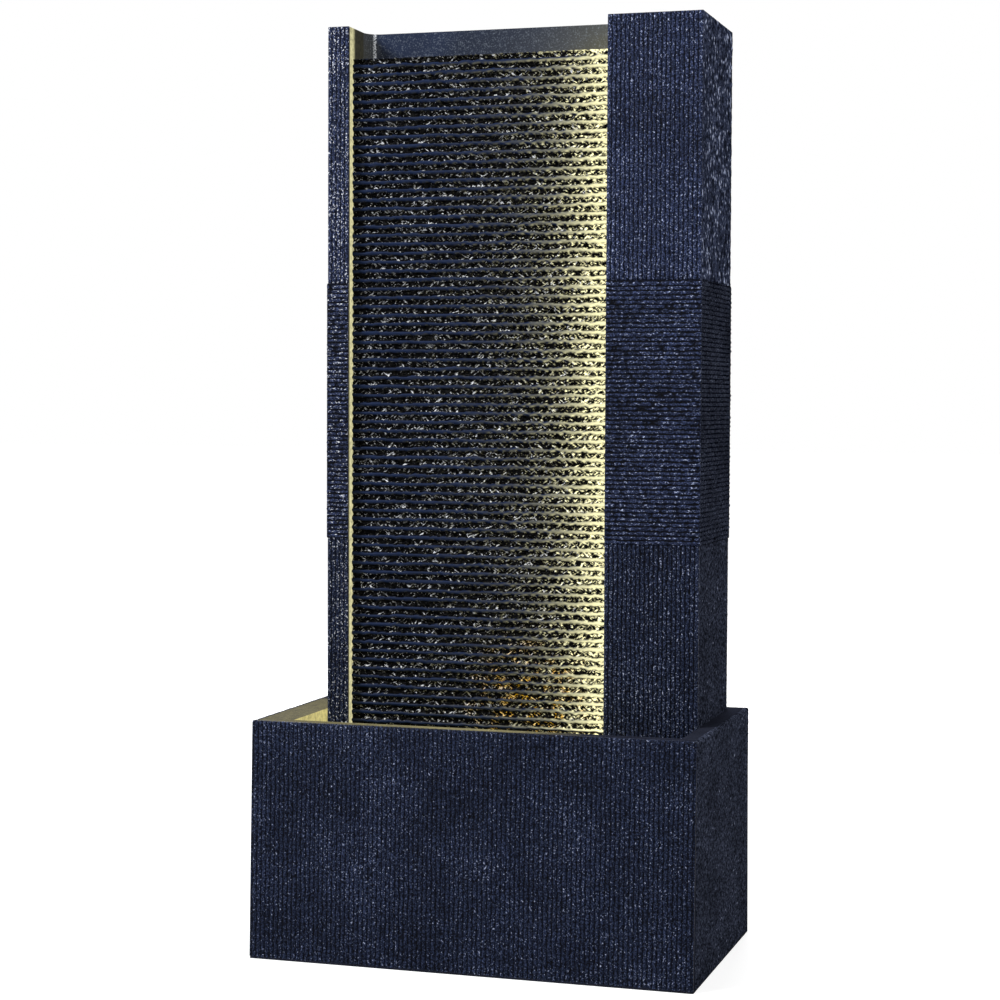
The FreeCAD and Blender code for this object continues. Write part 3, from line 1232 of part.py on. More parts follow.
def make_spreader():
    """Pipe with a row of holes that fills the trough evenly, and its two end caps."""
    pipe = rod("X", SPREADER_LEFT, TROUGH_MIDDLE, SPREADER_Z, "spreader_radius",
               SPREADER_LENGTH)
    socket_foot = f"({SPREADER_Z} - spreader_radius - spreader_lift)"
    socket = rod("Z", FEED_X, TROUGH_MIDDLE, socket_foot, "spigot_radius + 2.5",
                 "spreader_lift + spreader_radius")
    inner = "(spreader_radius - spreader_wall)"
    bore = rod("X", f"{SPREADER_LEFT} - {PAST}", TROUGH_MIDDLE, SPREADER_Z, inner,
               f"{SPREADER_LENGTH} + {2 * PAST}")
    inlet = rod("Z", FEED_X, TROUGH_MIDDLE, f"{socket_foot} - {PAST}",
                "spigot_radius + hole_clearance", f"spreader_lift + spreader_radius + {PAST}")
    count = int(number("spreader_holes"))
    holes = []
    for index in range(count):
        x = f"{SPREADER_LEFT} + {SPREADER_LENGTH} * {index + 0.5} / spreader_holes"
        holes.append(rod("Z", x, TROUGH_MIDDLE, SPREADER_Z, "spreader_hole",
                         f"spreader_radius + {PAST}"))
    spreader = cut("spreader_pipe", fuse("Pipe", [pipe, socket]), [bore, inlet] + holes)
    caps = []
    for start, disc in ((SPREADER_LEFT, f"{SPREADER_LEFT} - 2"),
                        (f"{SPREADER_RIGHT} - 8", SPREADER_RIGHT)):
        plug = rod("X", start, TROUGH_MIDDLE, SPREADER_Z, f"{inner} - hole_clearance", "8")
        flange = rod("X", disc, TROUGH_MIDDLE, SPREADER_Z, "spreader_radius", "2")
        caps.append(fuse("Cap", [plug, flange]))
    return [spreader, group("spreader_caps", caps)]


def check(parts):
    """Stop if a feature failed or a sub-part has no sound solid."""
    for item in doc.Objects:
        if {"Invalid", "Error"} & set(item.State):
            raise ValueError(f"{item.Label} failed to build")
    for part in parts:
        shape = part.Shape
        if shape.isNull() or not shape.isValid() or not shape.Solids:
            raise ValueError(f"{part.Label} has no sound shape")


def main():
    """Build every sub-part and write one STEP file for each."""
    parts = [make_basin()]
    parts += make_drain()
    parts += [make_left_pillar(), make_right_pillar(), make_water_wall(), make_header_trough()]
    parts += make_back()
    parts += [make_panel_screws(), make_grommet()]
    parts += make_wall_brackets()
    parts += make_door()
    parts += make_hinges()
    parts += make_light_strip()
    parts += make_spot_head()
    parts += make_spot_mount()
    parts += [make_pump_motor(), make_pump_volute(), make_intake_cover(), make_flow_dial()]
    parts += [make_impeller()]
    parts += make_shaft()
    parts += [make_pump_cups(), make_nipple(), make_riser_hose(), make_hose_clamps()]
    parts += make_trough_fitting()
    parts += make_spreader()
    doc.recompute()
    check(parts)
    os.makedirs("parts", exist_ok=True)
    for part in parts:
        part.Shape.exportStep(f"parts/{part.Label}.step")
        box = part.Shape.BoundBox
        print(f"{part.Label:20s} {len(part.Shape.Solids):3d} solids {part.Shape.Volume / 1000:9.1f} cm3"
              f"  x {box.XMin:7.1f} {box.XMax:7.1f}  y {box.YMin:7.1f} {box.YMax:7.1f}"
              f"  z {box.ZMin:7.1f} {box.ZMax:7.1f}")


main()
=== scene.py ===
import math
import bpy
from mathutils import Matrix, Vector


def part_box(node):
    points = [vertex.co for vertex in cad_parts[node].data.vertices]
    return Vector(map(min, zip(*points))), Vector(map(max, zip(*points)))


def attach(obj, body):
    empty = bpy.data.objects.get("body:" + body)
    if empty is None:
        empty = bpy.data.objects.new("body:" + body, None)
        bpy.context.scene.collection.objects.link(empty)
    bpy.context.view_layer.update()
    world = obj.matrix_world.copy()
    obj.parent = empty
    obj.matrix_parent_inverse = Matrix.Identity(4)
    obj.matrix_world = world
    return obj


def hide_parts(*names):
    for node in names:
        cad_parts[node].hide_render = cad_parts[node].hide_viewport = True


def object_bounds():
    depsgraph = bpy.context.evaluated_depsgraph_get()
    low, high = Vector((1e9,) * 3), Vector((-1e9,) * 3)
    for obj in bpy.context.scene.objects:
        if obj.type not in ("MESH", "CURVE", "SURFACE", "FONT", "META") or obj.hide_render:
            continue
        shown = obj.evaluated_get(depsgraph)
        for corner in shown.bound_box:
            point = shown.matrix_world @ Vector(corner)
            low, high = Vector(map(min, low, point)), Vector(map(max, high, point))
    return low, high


bl_info = {
    "name": "Garden Wall Fountain",
    "version": (1, 0, 0),
    "blender": (4, 5, 0),
    "location": "3D View > Sidebar > Fountain",
    "description": "Dresses a water-wall fountain: castings, wet wall, lights and fittings",
    "category": "Object",
}

import bmesh
import bpy
from bpy.props import FloatProperty, FloatVectorProperty, PointerProperty
from mathutils import Matrix, Vector, noise

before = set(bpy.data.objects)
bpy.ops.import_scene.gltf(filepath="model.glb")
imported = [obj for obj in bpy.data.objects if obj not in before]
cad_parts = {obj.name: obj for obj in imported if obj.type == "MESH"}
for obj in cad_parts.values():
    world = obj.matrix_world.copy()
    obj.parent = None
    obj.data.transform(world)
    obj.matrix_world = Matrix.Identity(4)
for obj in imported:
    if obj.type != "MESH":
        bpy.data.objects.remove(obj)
CAD_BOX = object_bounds()


def linear(code):
    """Turn an sRGB hex colour into linear red, green and blue."""
    channels = [int(code[place:place + 2], 16) / 255 for place in (0, 2, 4)]
    return tuple(c / 12.92 if c <= 0.04045 else ((c + 0.055) / 1.055) ** 2.4 for c in channels)


# Sizes and colours that a user would change

def length(name, text, default):
    """Describe one length in metres."""
    return FloatProperty(name=name, description=text, default=default, min=0.0,
                         subtype="DISTANCE", unit="LENGTH", precision=5)


def colour(name, text, code):
    """Describe one colour, given as an sRGB hex code."""
    return FloatVectorProperty(name=name, description=text, default=linear(code), size=3,
                               min=0.0, max=1.0, subtype="COLOR")


class FountainSizes(bpy.types.PropertyGroup):
    """Sizes of the relief that the castings carry"""

    basin_rib: length("Basin rib pitch", "Pitch of the upright ribs on the basin", 0.00625)
    pillar_rib: length("Pillar rib pitch", "Pitch of the ribs on the pillars", 0.00603)
    rib_relief: length("Rib relief", "Height of the fine ribs over their grooves", 0.0019)
    pebble: length("Pebble size", "Size of the pebbles on the castings' sides", 0.0038)
    pebble_relief: length("Pebble relief", "Height of the pebbles", 0.0009)
    edge_round: length("Edge rounding", "Rounding of the pillars' edges", 0.0016)
    rim_round: length("Rim rounding", "Rounding of the basin's outer edges", 0.003)
    block_height: length("Block height", "Height of each cast block of the pillars", 0.345)
    block_step: length("Block step", "How far the middle block stands proud", 0.001)
    basin_lean: length("Basin lean", "How far the basin's front leans out at the floor", 0.010)
    wall_rib: length("Wall rib pitch", "Pitch of the ledges on the wet wall", 0.012)
    wall_relief: length("Wall relief", "Depth of the ledges on the wet wall", 0.006)


class FountainColours(bpy.types.PropertyGroup):
    """Colours of the castings, the lights and the fittings"""

    crest: colour("Crest", "Crests of the tower's upper castings", "303956")
    low_crest: colour("Low crest", "Crests of the basin and of the tower's foot", "262e45")
    # Painted glints: beads painted bright where glints of light fall on the navy castings
    rubbed: colour("Glinting beads", "Beads rubbed bright on the navy castings", "bec8e6")
    flank: colour("Flank", "Pebbled sides of the navy castings", "3b4050")
    hammered: colour("Hammered", "Hammered sides of the tower's top castings", "3f465d")
    # Grooves painted near black: painted shade in the hollows of the relief
    groove: colour("Groove", "Grooves of the navy castings", "020510")
    smooth: colour("Smooth resin", "Plain faces of the navy castings", "191b26")
    deck: colour("Deck", "Plain rims, deck and inside of the basin", "292c38")
    wall_face: colour("Wet face", "Smooth faces of the wet ledges", "14213d")
    # Broken edges painted near black: painted shade under the wet lips
    wall_break_shade: colour("Wet break", "Broken edges of the wet ledges", "030304")
    # Painted glints: pale splashes on the wet ledges, and the whiter glints on the left pillar
    splash: colour("Splash", "Splashes that catch the light on the wet ledges", "e9ecf2")
    header: colour("Header", "Smooth header above the wall", "1b253c")
    fleck: colour("Fleck", "Fine flecks on the smooth header", "7d8796")
    warm_light: colour("Warm light", "Light of the strip in the wide pillar", "fff2b0")
    amber_light: colour("Amber light", "Light of the lamp in the basin", "e9b010")


# Materials

# Light of the light strip, painted on the castings as a glow: its tone, how far its light softens
# near it, and how it lifts
STRIP_TONE = linear("fff8be")
DECK_TONE = linear("fff09c")
STRIP_SOFT = 0.040
STRIP_RISE = 0.20
DECK_RISE = 0.30
# How strongly each casting takes the strip's painted light
DECK_GLOW = 0.27
PILLAR_GLOW = 0.25
HEADER_GLOW = 0.012
WALL_GLOW = 0.43
# Painted shade of the wet wall: the depths where the light fades and ends, the depth of a rim
# painted in shade, and how much sooner the light ends inside the tower than beside it
DECK_SHADE = (0.055, 0.085, None, 0.105)
PILLAR_SHADE = (-0.032, -0.022, -0.0435)
HEADER_SHADE = (0.05, 0.06)
# Painted light that passes over the wall's top edge, and the share of light kept on a rim painted
# in shade
OVER_WALL = 0.05
SHADED_RIM_SHARE = 0.2
# Width over which the strip's light fades at an edge
FADE = 0.004
# Height and depth at which the lamp's painted light meets the wet wall, and how strong it is
# there
LAMP_PATCH = 0.335
LAMP_DEPTH = -0.03
LAMP_REACH = 0.42
# Place across the header where a highlight is painted down its cove, and the tone of that painted
# highlight
COVE_LINE = -0.2013
COVE_HIGHLIGHT = linear("e4e8ee")
# Shine of the ribbed, the pebbled and the smooth castings, and of the water film
CAST_SHINE = 0.04
SIDE_SHINE = 0.0
SLATE_SHINE = 0.02
WET_SHINE = 0.04
# Look of the pebbled castings: coarse even stones
PEBBLED = {"gloss": 0.6, "shine": SIDE_SHINE, "stroke": (0.0045, 0.0045, 0.0045),
           "crest_range": (-0.3, 0.5)}
# Brightness of the lit covers, and the spacing of the chips behind them in millimetres
DIFFUSER_GLOW = 0.95
LENS_GLOW = 1.3
CHIP_MM = 16.6


def feed(tree, node, inputs):
    """Set a node's inputs, or link them to a socket or to the first open output of a node."""
    for key, value in inputs.items():
        if isinstance(value, bpy.types.Node):
            value = next(socket for socket in value.outputs if socket.enabled)
        if isinstance(value, bpy.types.NodeSocket):
            tree.links.new(value, node.inputs[key])
        else:
            node.inputs[key].default_value = value


def add_node(tree, kind, inputs=None, **settings):
    """Add a shader node with its settings, and set or link its inputs."""
    node = tree.nodes.new(f"ShaderNode{kind}")
    for key, value in settings.items():
        setattr(node, key, value)
    feed(tree, node, inputs or {})
    return node


def new_material(name):
    """Start a material: return it, its tree, its shader and the place on the object."""
    material = bpy.data.materials.new(name)
    material.use_nodes = True
    tree = material.node_tree
    place = add_node(tree, "TexCoord").outputs["Object"]
    return material, tree, tree.nodes["Principled BSDF"], place


def opaque(rgb):
    """Add full alpha to a colour."""
    return (*rgb, 1.0)


def cloudy(tree, place, scale, detail, low, high):
    """Return soft clouds, and the factor from low to high that they give a colour."""
    cloud = add_node(tree, "TexNoise", {"Vector": place, "Scale": scale, "Detail": detail})
    shade = add_node(tree, "MapRange", {
        "Value": cloud, "From Min": 0.3, "From Max": 0.7, "To Min": low, "To Max": high})
    return cloud, shade


def crossed_strokes(tree, place, size, turns, detail):
    """Return strokes of one size that slant both ways, each turned about the axes given."""
    strokes = []
    for way in (1, -1):
        slant = add_node(tree, "Mapping", {
            "Vector": place, "Rotation": [way * turn for turn in turns], "Scale": size},
            vector_type="TEXTURE")
        strokes.append(add_node(tree, "TexNoise", {
            "Vector": slant, "Scale": 1.0, "Detail": detail, "Roughness": 0.5}))
    return add_node(tree, "Math", {0: strokes[0], 1: strokes[1]}, operation="MAXIMUM")


def strip_glow(tree, place, normal, strength, shade=None, fall_off=1.0, soft=STRIP_SOFT,
               lift=STRIP_RISE):
    """Light that the strip in the wide pillar throws on a surface, painted as an emission
    strength.
    """
    low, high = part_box("led_diffuser")
    parts = add_node(tree, "SeparateXYZ", {"Vector": place})
    across = add_node(tree, "Math", {0: low.x, 1: parts.outputs["X"]}, operation="SUBTRACT")
    ahead = add_node(tree, "Math", {0: (low.y + high.y) / 2, 1: parts.outputs["Y"]},
                     operation="SUBTRACT")
    # The strip's nearest stretch, seen from further along as a longer and higher one
    rise = add_node(tree, "Math", {0: across, 1: lift, 2: low.z}, operation="MULTIPLY_ADD")
    fall = add_node(tree, "Math", {0: across, 1: -lift, 2: high.z}, operation="MULTIPLY_ADD")
    above = add_node(tree, "Math", {0: parts.outputs["Z"], 1: rise}, operation="MAXIMUM")
    level = add_node(tree, "Math", {0: above, 1: fall}, operation="MINIMUM")
    climb = add_node(tree, "Math", {0: level, 1: parts.outputs["Z"]}, operation="SUBTRACT")
    ray = add_node(tree, "CombineXYZ", {"X": across, "Y": ahead, "Z": climb})
    reach = add_node(tree, "VectorMath", {0: ray, 1: ray}, operation="DOT_PRODUCT")
    facing = add_node(tree, "VectorMath", {0: ray, 1: normal}, operation="DOT_PRODUCT")
    turned = add_node(tree, "Math", {0: facing, 1: 0.0}, operation="MAXIMUM")
    spread = add_node(tree, "Math", {0: reach, 1: 1 / soft ** 2, 2: 1.0},
                      operation="MULTIPLY_ADD")
    faded = add_node(tree, "Math", {0: spread, 1: -fall_off}, operation="POWER")
    light = add_node(tree, "Math", {0: turned, 1: faded}, operation="MULTIPLY")
    # No light behind the strip
    side = add_node(tree, "MapRange", {
        "Value": across, "From Max": FADE, "To Max": strength / soft ** 2})
    glow = add_node(tree, "Math", {0: light, 1: side}, operation="MULTIPLY")
    if shade is not None:
        glow = add_node(tree, "Math", {0: glow, 1: shade}, operation="MULTIPLY")
    return glow


def behind_wall(tree, place, near, far, rim=None, sooner=0.0):
    """Painted shade of the wet wall: 1 before near, 0 past far, and a small part of the light
    before a rim painted in shade.
    """
    parts = add_node(tree, "SeparateXYZ", {"Vector": place})
    depth = parts.outputs["Y"]
    if sooner:
        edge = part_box("water_wall")[0].x
        inside = add_node(tree, "MapRange", {
            "Value": parts.outputs["X"], "From Min": edge, "From Max": edge + 0.001,
            "To Min": 0.0, "To Max": sooner})
        depth = add_node(tree, "Math", {0: depth, 1: inside}, operation="ADD")
    shade = add_node(tree, "MapRange", {
        "Value": depth, "From Min": near, "From Max": far, "To Min": 1.0, "To Max": 0.0})
    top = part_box("water_wall")[1].z
    over = add_node(tree, "MapRange", {
        "Value": parts.outputs["Z"], "From Min": top - FADE, "From Max": top + FADE,
        "To Min": 0.0, "To Max": OVER_WALL})
    kept = add_node(tree, "Math", {0: shade, 1: over}, operation="MAXIMUM")
    if rim is None:
        return kept
    # The rim at the front is painted in shade: it keeps only a small share of the light
    turned = add_node(tree, "MapRange", {
        "Value": parts.outputs["Y"], "From Min": rim, "From Max": rim + 0.0015,
        "To Min": SHADED_RIM_SHARE, "To Max": 1.0})
    return add_node(tree, "Math", {0: kept, 1: turned}, operation="MULTIPLY")


def ribbed_resin(name, crest, groove, rub, gloss=0.36, stroke=(0.0018, 0.0018, 0.0032),
                 rubbed_from=0.66, shine=CAST_SHINE, crest_range=(0.08, 0.45), slope=0.55):
    """Cast polyresin, painted navy: satin, with painted shade in its grooves and small painted
    glints on its crests.
    """
    material, tree, shader, place = new_material(name)
    relief = add_node(tree, "Attribute", attribute_name="relief").outputs["Fac"]
    # Cloudy variation of the paint, 90 mm across
    cloud, shade = cloudy(tree, place, 11.0, 3.0, 0.7, 1.3)
    # Beads of the cast relief: slanting strokes, on the ribs 3 mm long and 2 mm thick
    bead = crossed_strokes(tree, place, stroke, (slope, slope, 0.0), 1.0)
    # Thin dark seams between the beads, 4 mm apart: painted shade in the creases
    cells = add_node(tree, "Mapping", {"Vector": place, "Scale": (0.0036, 0.0036, 0.0046)},
                     vector_type="TEXTURE")
    seam = add_node(tree, "TexVoronoi", {"Vector": cells, "Scale": 1.0},
                    feature="DISTANCE_TO_EDGE")
    apart = add_node(tree, "MapRange", {
        "Value": seam, "From Min": 0.02, "From Max": 0.2, "To Min": 0.35, "To Max": 1.1})
    # Hollows of the relief take the groove colour and crests the crest colour: painted shade in
    # the grooves
    height = add_node(tree, "MapRange", {
        "Value": relief, "From Min": crest_range[0], "From Max": crest_range[1]})
    body = add_node(tree, "Mix", {"Factor": height, "A": opaque(groove), "B": opaque(crest)},
                    data_type="RGBA")
    # Each bead painted lighter on its top and darker at its foot: painted light and shade
    bead_shading = add_node(tree, "MapRange", {
        "Value": bead, "From Min": 0.45, "From Max": 0.68, "To Min": 0.30, "To Max": 2.1})
    tone = add_node(tree, "Math", {0: shade, 1: bead_shading}, operation="MULTIPLY")
    split = add_node(tree, "Math", {0: tone, 1: apart}, operation="MULTIPLY")
    toned = add_node(tree, "VectorMath", {0: body, "Scale": split}, operation="SCALE")
    # Some patches carry more painted glints than others
    glinted = add_node(tree, "Math", {0: cloud, 1: 0.12, 2: bead}, operation="MULTIPLY_ADD")
    bright = add_node(tree, "MapRange", {
        "Value": glinted, "From Min": rubbed_from + 0.06, "From Max": rubbed_from + 0.12})
    share = add_node(tree, "Math", {0: bright, 1: height}, operation="MULTIPLY")
    rubbed = add_node(tree, "Mix", {"Factor": share, "A": toned, "B": opaque(rub)},
                      data_type="RGBA")
    bump = add_node(tree, "Bump", {"Height": split, "Strength": 0.6, "Distance": 0.0006})
    dull = add_node(tree, "MapRange", {
        "Value": bead, "From Min": 0.45, "From Max": 0.7,
        "To Min": gloss + 0.1, "To Max": gloss - 0.08})
    feed(tree, shader, {"Base Color": rubbed, "Roughness": dull, "Normal": bump,
                        "Specular IOR Level": shine})
    return material


def plain_resin(name, tone, gloss=0.6, grain_mm=1.2, grain_depth=0.0003, glow=0.0,
                shadow=None, glow_tone=STRIP_TONE, lift=STRIP_RISE):
    """Cast polyresin without ribs: an even satin coat with a fine sandy grain, and the strip's
    light painted on it where it glows.
    """
    material, tree, shader, place = new_material(name)
    cloud, shade = cloudy(tree, place, 14.0, 4.0, 0.8, 1.15)
    grain = add_node(tree, "TexNoise", {
        "Vector": place, "Scale": 1000.0 / grain_mm, "Detail": 2.0})
    speck = add_node(tree, "MapRange", {
        "Value": grain, "From Min": 0.6, "From Max": 0.7, "To Min": 1.0, "To Max": 1.9})
    factor = add_node(tree, "Math", {0: shade, 1: speck}, operation="MULTIPLY")
    toned = add_node(tree, "VectorMath", {0: tone, "Scale": factor}, operation="SCALE")
    bump = add_node(tree, "Bump", {"Height": grain, "Strength": 0.7, "Distance": grain_depth})
    dull = add_node(tree, "MapRange", {
        "Value": cloud, "From Min": 0.3, "From Max": 0.7,
        "To Min": gloss - 0.07, "To Max": gloss + 0.1})
    feed(tree, shader, {"Base Color": toned, "Roughness": dull, "Normal": bump,
                        "Specular IOR Level": SIDE_SHINE})
    if glow:
        # The strip's painted light and the wall's painted shade, mottled like stone in spots 6 mm
        # across
        spots = add_node(tree, "TexNoise", {
            "Vector": place, "Scale": 170.0, "Detail": 5.0, "Roughness": 0.65})
        mottle = add_node(tree, "MapRange", {
            "Value": spots, "From Min": 0.35, "From Max": 0.62,
            "To Min": 0.62, "To Max": 1.15})
        uneven = add_node(tree, "Math", {0: behind_wall(tree, place, *shadow), 1: mottle},
                          operation="MULTIPLY")
        light = strip_glow(tree, place, bump.outputs["Normal"], glow, uneven, lift=lift)
        feed(tree, shader, {"Emission Color": opaque(glow_tone), "Emission Strength": light})
    return material


def slate_resin(name, tone, fleck):
    """Smooth cast resin of the header: satin slate blue with fine flecks, a painted highlight
    down its cove, and the strip's painted light.
    """
    material, tree, shader, place = new_material(name)
    shade = cloudy(tree, place, 16.0, 3.0, 0.75, 1.2)[1]
    grain = add_node(tree, "TexNoise", {"Vector": place, "Scale": 540.0, "Detail": 2.0})
    toned = add_node(tree, "VectorMath", {0: tone, "Scale": shade}, operation="SCALE")
    dots = add_node(tree, "MapRange", {
        "Value": grain, "From Min": 0.53, "From Max": 0.75, "To Min": 0.0, "To Max": 0.5})
    flecked = add_node(tree, "Mix", {"Factor": dots, "A": toned, "B": opaque(fleck)},
                       data_type="RGBA")
    # A painted highlight down the cove, broken into dots
    parts = add_node(tree, "SeparateXYZ", {"Vector": place})
    across = add_node(tree, "Math", {0: parts.outputs["X"], 1: COVE_LINE},
                      operation="SUBTRACT")
    away = add_node(tree, "Math", {0: across}, operation="ABSOLUTE")
    line = add_node(tree, "MapRange", {
        "Value": away, "From Min": 0.0008, "From Max": 0.0026, "To Min": 1.0, "To Max": 0.0})
    broken = add_node(tree, "MapRange", {"Value": grain, "From Min": 0.42, "From Max": 0.56})
    glinted = add_node(tree, "Math", {0: line, 1: broken}, operation="MULTIPLY")
    finish = add_node(tree, "Mix", {"Factor": glinted, "A": flecked, "B": opaque(COVE_HIGHLIGHT)},
                      data_type="RGBA")
    bump = add_node(tree, "Bump", {"Height": grain, "Strength": 0.5, "Distance": 0.0002})
    # The strip's light painted on the header, in the wall's painted shade
    light = strip_glow(tree, place, bump.outputs["Normal"], HEADER_GLOW,
                       behind_wall(tree, place, *HEADER_SHADE))
    feed(tree, shader, {"Base Color": finish, "Normal": bump, "Roughness": 0.45,
                        "Specular IOR Level": SLATE_SHINE,
                        "Emission Color": opaque(STRIP_TONE), "Emission Strength": light})
    return material


def wet_resin(name, face, broken, splash_glint_tone, amber):
    """Polyresin under running water: glossy navy faces, broken edges painted black for their
    shade, painted glints, and the painted light of the strip and the lamp.
    """
    material, tree, shader, place = new_material(name)
    rough = add_node(tree, "Attribute", attribute_name="broken").outputs["Fac"]
    shade = cloudy(tree, place, 30.0, 3.0, 0.8, 1.2)[1]
    # Splashes are slanting strokes, about 6 mm long and 2 mm thick
    splash = crossed_strokes(tree, place, (0.0060, 0.012, 0.0022), (0.0, 0.6, 0.0), 2.0)
    # The splashes' strongest strokes are painted pale: painted glints
    glint = add_node(tree, "MapRange", {"Value": splash, "From Min": 0.635, "From Max": 0.69})
    # Close to the strip its painted light also reaches between the splashes
    parts = add_node(tree, "SeparateXYZ", {"Vector": place})
    strip_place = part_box("led_diffuser")[0].x
    close = add_node(tree, "MapRange", {
        "Value": parts.outputs["X"], "From Min": strip_place - 0.075, "From Max": strip_place,
        "To Min": 0.0, "To Max": 0.065})
    reached = add_node(tree, "Math", {0: splash, 1: close}, operation="ADD")
    lit = add_node(tree, "MapRange", {"Value": reached, "From Min": 0.58, "From Max": 0.66})
    # Patches where more or fewer painted glints show on the film
    patch = add_node(tree, "TexNoise", {"Vector": place, "Scale": 60.0, "Detail": 2.0})
    catch = add_node(tree, "MapRange", {
        "Value": patch, "From Min": 0.35, "From Max": 0.65, "To Min": 0.25, "To Max": 1.0})
    # Runnels of the water film on the smooth faces
    streak = add_node(tree, "Mapping", {"Vector": place, "Scale": (1.0, 1.0, 0.08)})
    film = add_node(tree, "TexNoise", {"Vector": streak, "Scale": 240.0, "Detail": 2.0})
    # Broken edges painted near black: painted shade under each lip
    body = add_node(tree, "Mix", {"Factor": rough, "A": opaque(face), "B": opaque(broken)},
                    data_type="RGBA")
    toned = add_node(tree, "VectorMath", {0: body, "Scale": shade}, operation="SCALE")
    drops = add_node(tree, "Math", {0: glint, 1: rough}, operation="MULTIPLY")
    shown = add_node(tree, "Math", {0: drops, 1: catch}, operation="MULTIPLY")
    # Painted light of the lamp in the basin: patches of the splashes above it are painted amber
    # and glow amber
    low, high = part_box("spot_lens")
    from_lamp = add_node(tree, "VectorMath", {
        0: place, 1: ((low.x + high.x) / 2, LAMP_DEPTH, LAMP_PATCH)}, operation="DISTANCE")
    near = add_node(tree, "MapRange", {
        "Value": from_lamp, "From Min": 0.02, "From Max": 0.12, "To Min": 1.0, "To Max": 0.0},
        interpolation_type="SMOOTHSTEP")
    chosen = add_node(tree, "MapRange", {"Value": patch, "From Min": 0.46, "From Max": 0.60})
    warmed = add_node(tree, "Math", {0: near, 1: chosen}, operation="MULTIPLY")
    tinted = add_node(tree, "Mix", {
        "Factor": warmed, "A": opaque(splash_glint_tone), "B": opaque(amber)}, data_type="RGBA")
    wetted = add_node(tree, "Mix", {"Factor": shown, "A": toned, "B": tinted},
                      data_type="RGBA")
    film_bump = add_node(tree, "Bump", {"Height": film, "Strength": 0.3, "Distance": 0.0004})
    depth = add_node(tree, "Math", {0: splash, 1: rough}, operation="MULTIPLY")
    bump = add_node(tree, "Bump", {
        "Height": depth, "Strength": 1.0, "Distance": 0.003, "Normal": film_bump})
    dull = add_node(tree, "MapRange", {"Value": rough, "To Min": 0.34, "To Max": 0.18})
    # Smooth faces take the strip's painted light whole, broken edges only on their splashes
    smooth = add_node(tree, "Math", {0: 1.0, 1: rough}, operation="SUBTRACT")
    caught = add_node(tree, "Math", {0: lit, 1: rough}, operation="MULTIPLY")
    taken = add_node(tree, "Math", {0: smooth, 1: 1.5, 2: caught}, operation="MULTIPLY_ADD")
    normal = add_node(tree, "NewGeometry").outputs["Normal"]
    light = strip_glow(tree, place, normal, WALL_GLOW, taken, fall_off=1.95, soft=0.062)
    lamp_share = add_node(tree, "Math", {0: warmed, 1: caught}, operation="MULTIPLY")
    amber_light = add_node(tree, "VectorMath", {
        0: [LAMP_REACH * channel for channel in amber], "Scale": lamp_share},
        operation="SCALE")
    strip_light = add_node(tree, "VectorMath", {0: STRIP_TONE, "Scale": light},
                           operation="SCALE")
    both = add_node(tree, "VectorMath", {0: amber_light, 1: strip_light}, operation="ADD")
    feed(tree, shader, {"Base Color": wetted, "Roughness": dull, "Normal": bump,
                        "Specular IOR Level": WET_SHINE,
                        "Emission Color": both, "Emission Strength": 1.0})
    return material


def fine_grain(tree, shader, place, scale, strength, depth, dull_range):
    """Give a shader a fine grain, as bump and as roughness between two values."""
    grain = add_node(tree, "TexNoise", {"Vector": place, "Scale": scale, "Detail": 2.0})
    bump = add_node(tree, "Bump", {"Height": grain, "Strength": strength, "Distance": depth})
    dull = add_node(tree, "MapRange", {
        "Value": grain, "To Min": dull_range[0], "To Max": dull_range[1]})
    feed(tree, shader, {"Roughness": dull, "Normal": bump})


def moulded_plastic(name, tone, gloss):
    """Injection-moulded plastic with a fine spark-eroded grain, 0.8 mm across."""
    material, tree, shader, place = new_material(name)
    fine_grain(tree, shader, place, 1250.0, 0.25, 0.0002, (gloss - 0.06, gloss + 0.06))
    feed(tree, shader, {"Base Color": opaque(tone)})
    return material


def drawn_metal(name, tone, gloss, stretch):
    """Drawn or brushed metal, its fine lines running along one axis."""
    material, tree, shader, place = new_material(name)
    lines = add_node(tree, "Mapping", {"Vector": place, "Scale": stretch})
    fine_grain(tree, shader, lines, 900.0, 0.3, 0.0001, (gloss - 0.08, gloss + 0.1))
    feed(tree, shader, {"Base Color": opaque(tone), "Metallic": 1.0})
    return material


def lit_cover(name, tone, strength):
    """Opal or clear cover that glows, a little brighter over each chip behind it."""
    material, tree, shader, place = new_material(name)
    wave = add_node(tree, "TexWave", {
        "Vector": place, "Scale": math.tau / (20 * CHIP_MM / 1000)},
        wave_type="BANDS", bands_direction="Z", wave_profile="SIN")
    glow = add_node(tree, "MapRange", {
        "Value": wave.outputs["Fac"], "To Min": 0.85 * strength, "To Max": 1.15 * strength})
    feed(tree, shader, {"Base Color": opaque(tone), "Roughness": 0.3,
                        "Emission Color": opaque(tone), "Emission Strength": glow})
    return material


def dress(material, *names):
    """Give CAD nodes one material."""
    for name in names:
        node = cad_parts[name]
        node.data.materials.clear()
        node.data.materials.append(material)


# Relief of the castings

# Each side of a casting: the way along it and the way out of it
SIDES = {
    "front": (Vector((1, 0, 0)), Vector((0, -1, 0))),
    "right": (Vector((0, 1, 0)), Vector((1, 0, 0))),
    "back": (Vector((-1, 0, 0)), Vector((0, 1, 0))),
    "left": (Vector((0, -1, 0)), Vector((-1, 0, 0))),
}
UP = Vector((0, 0, 1))
# Depth that a relief's edges reach into the casting behind it
HEM = 0.002
# Width over which a relief calms down towards an edge, and how high it is there
CALM = 0.0015
CALM_HEIGHT = 0.55
CALM_CREST = 0.4
END_HEIGHT = 0.15
# Highest level of a crest, as a share of a relief's depth
FULL = 1.2
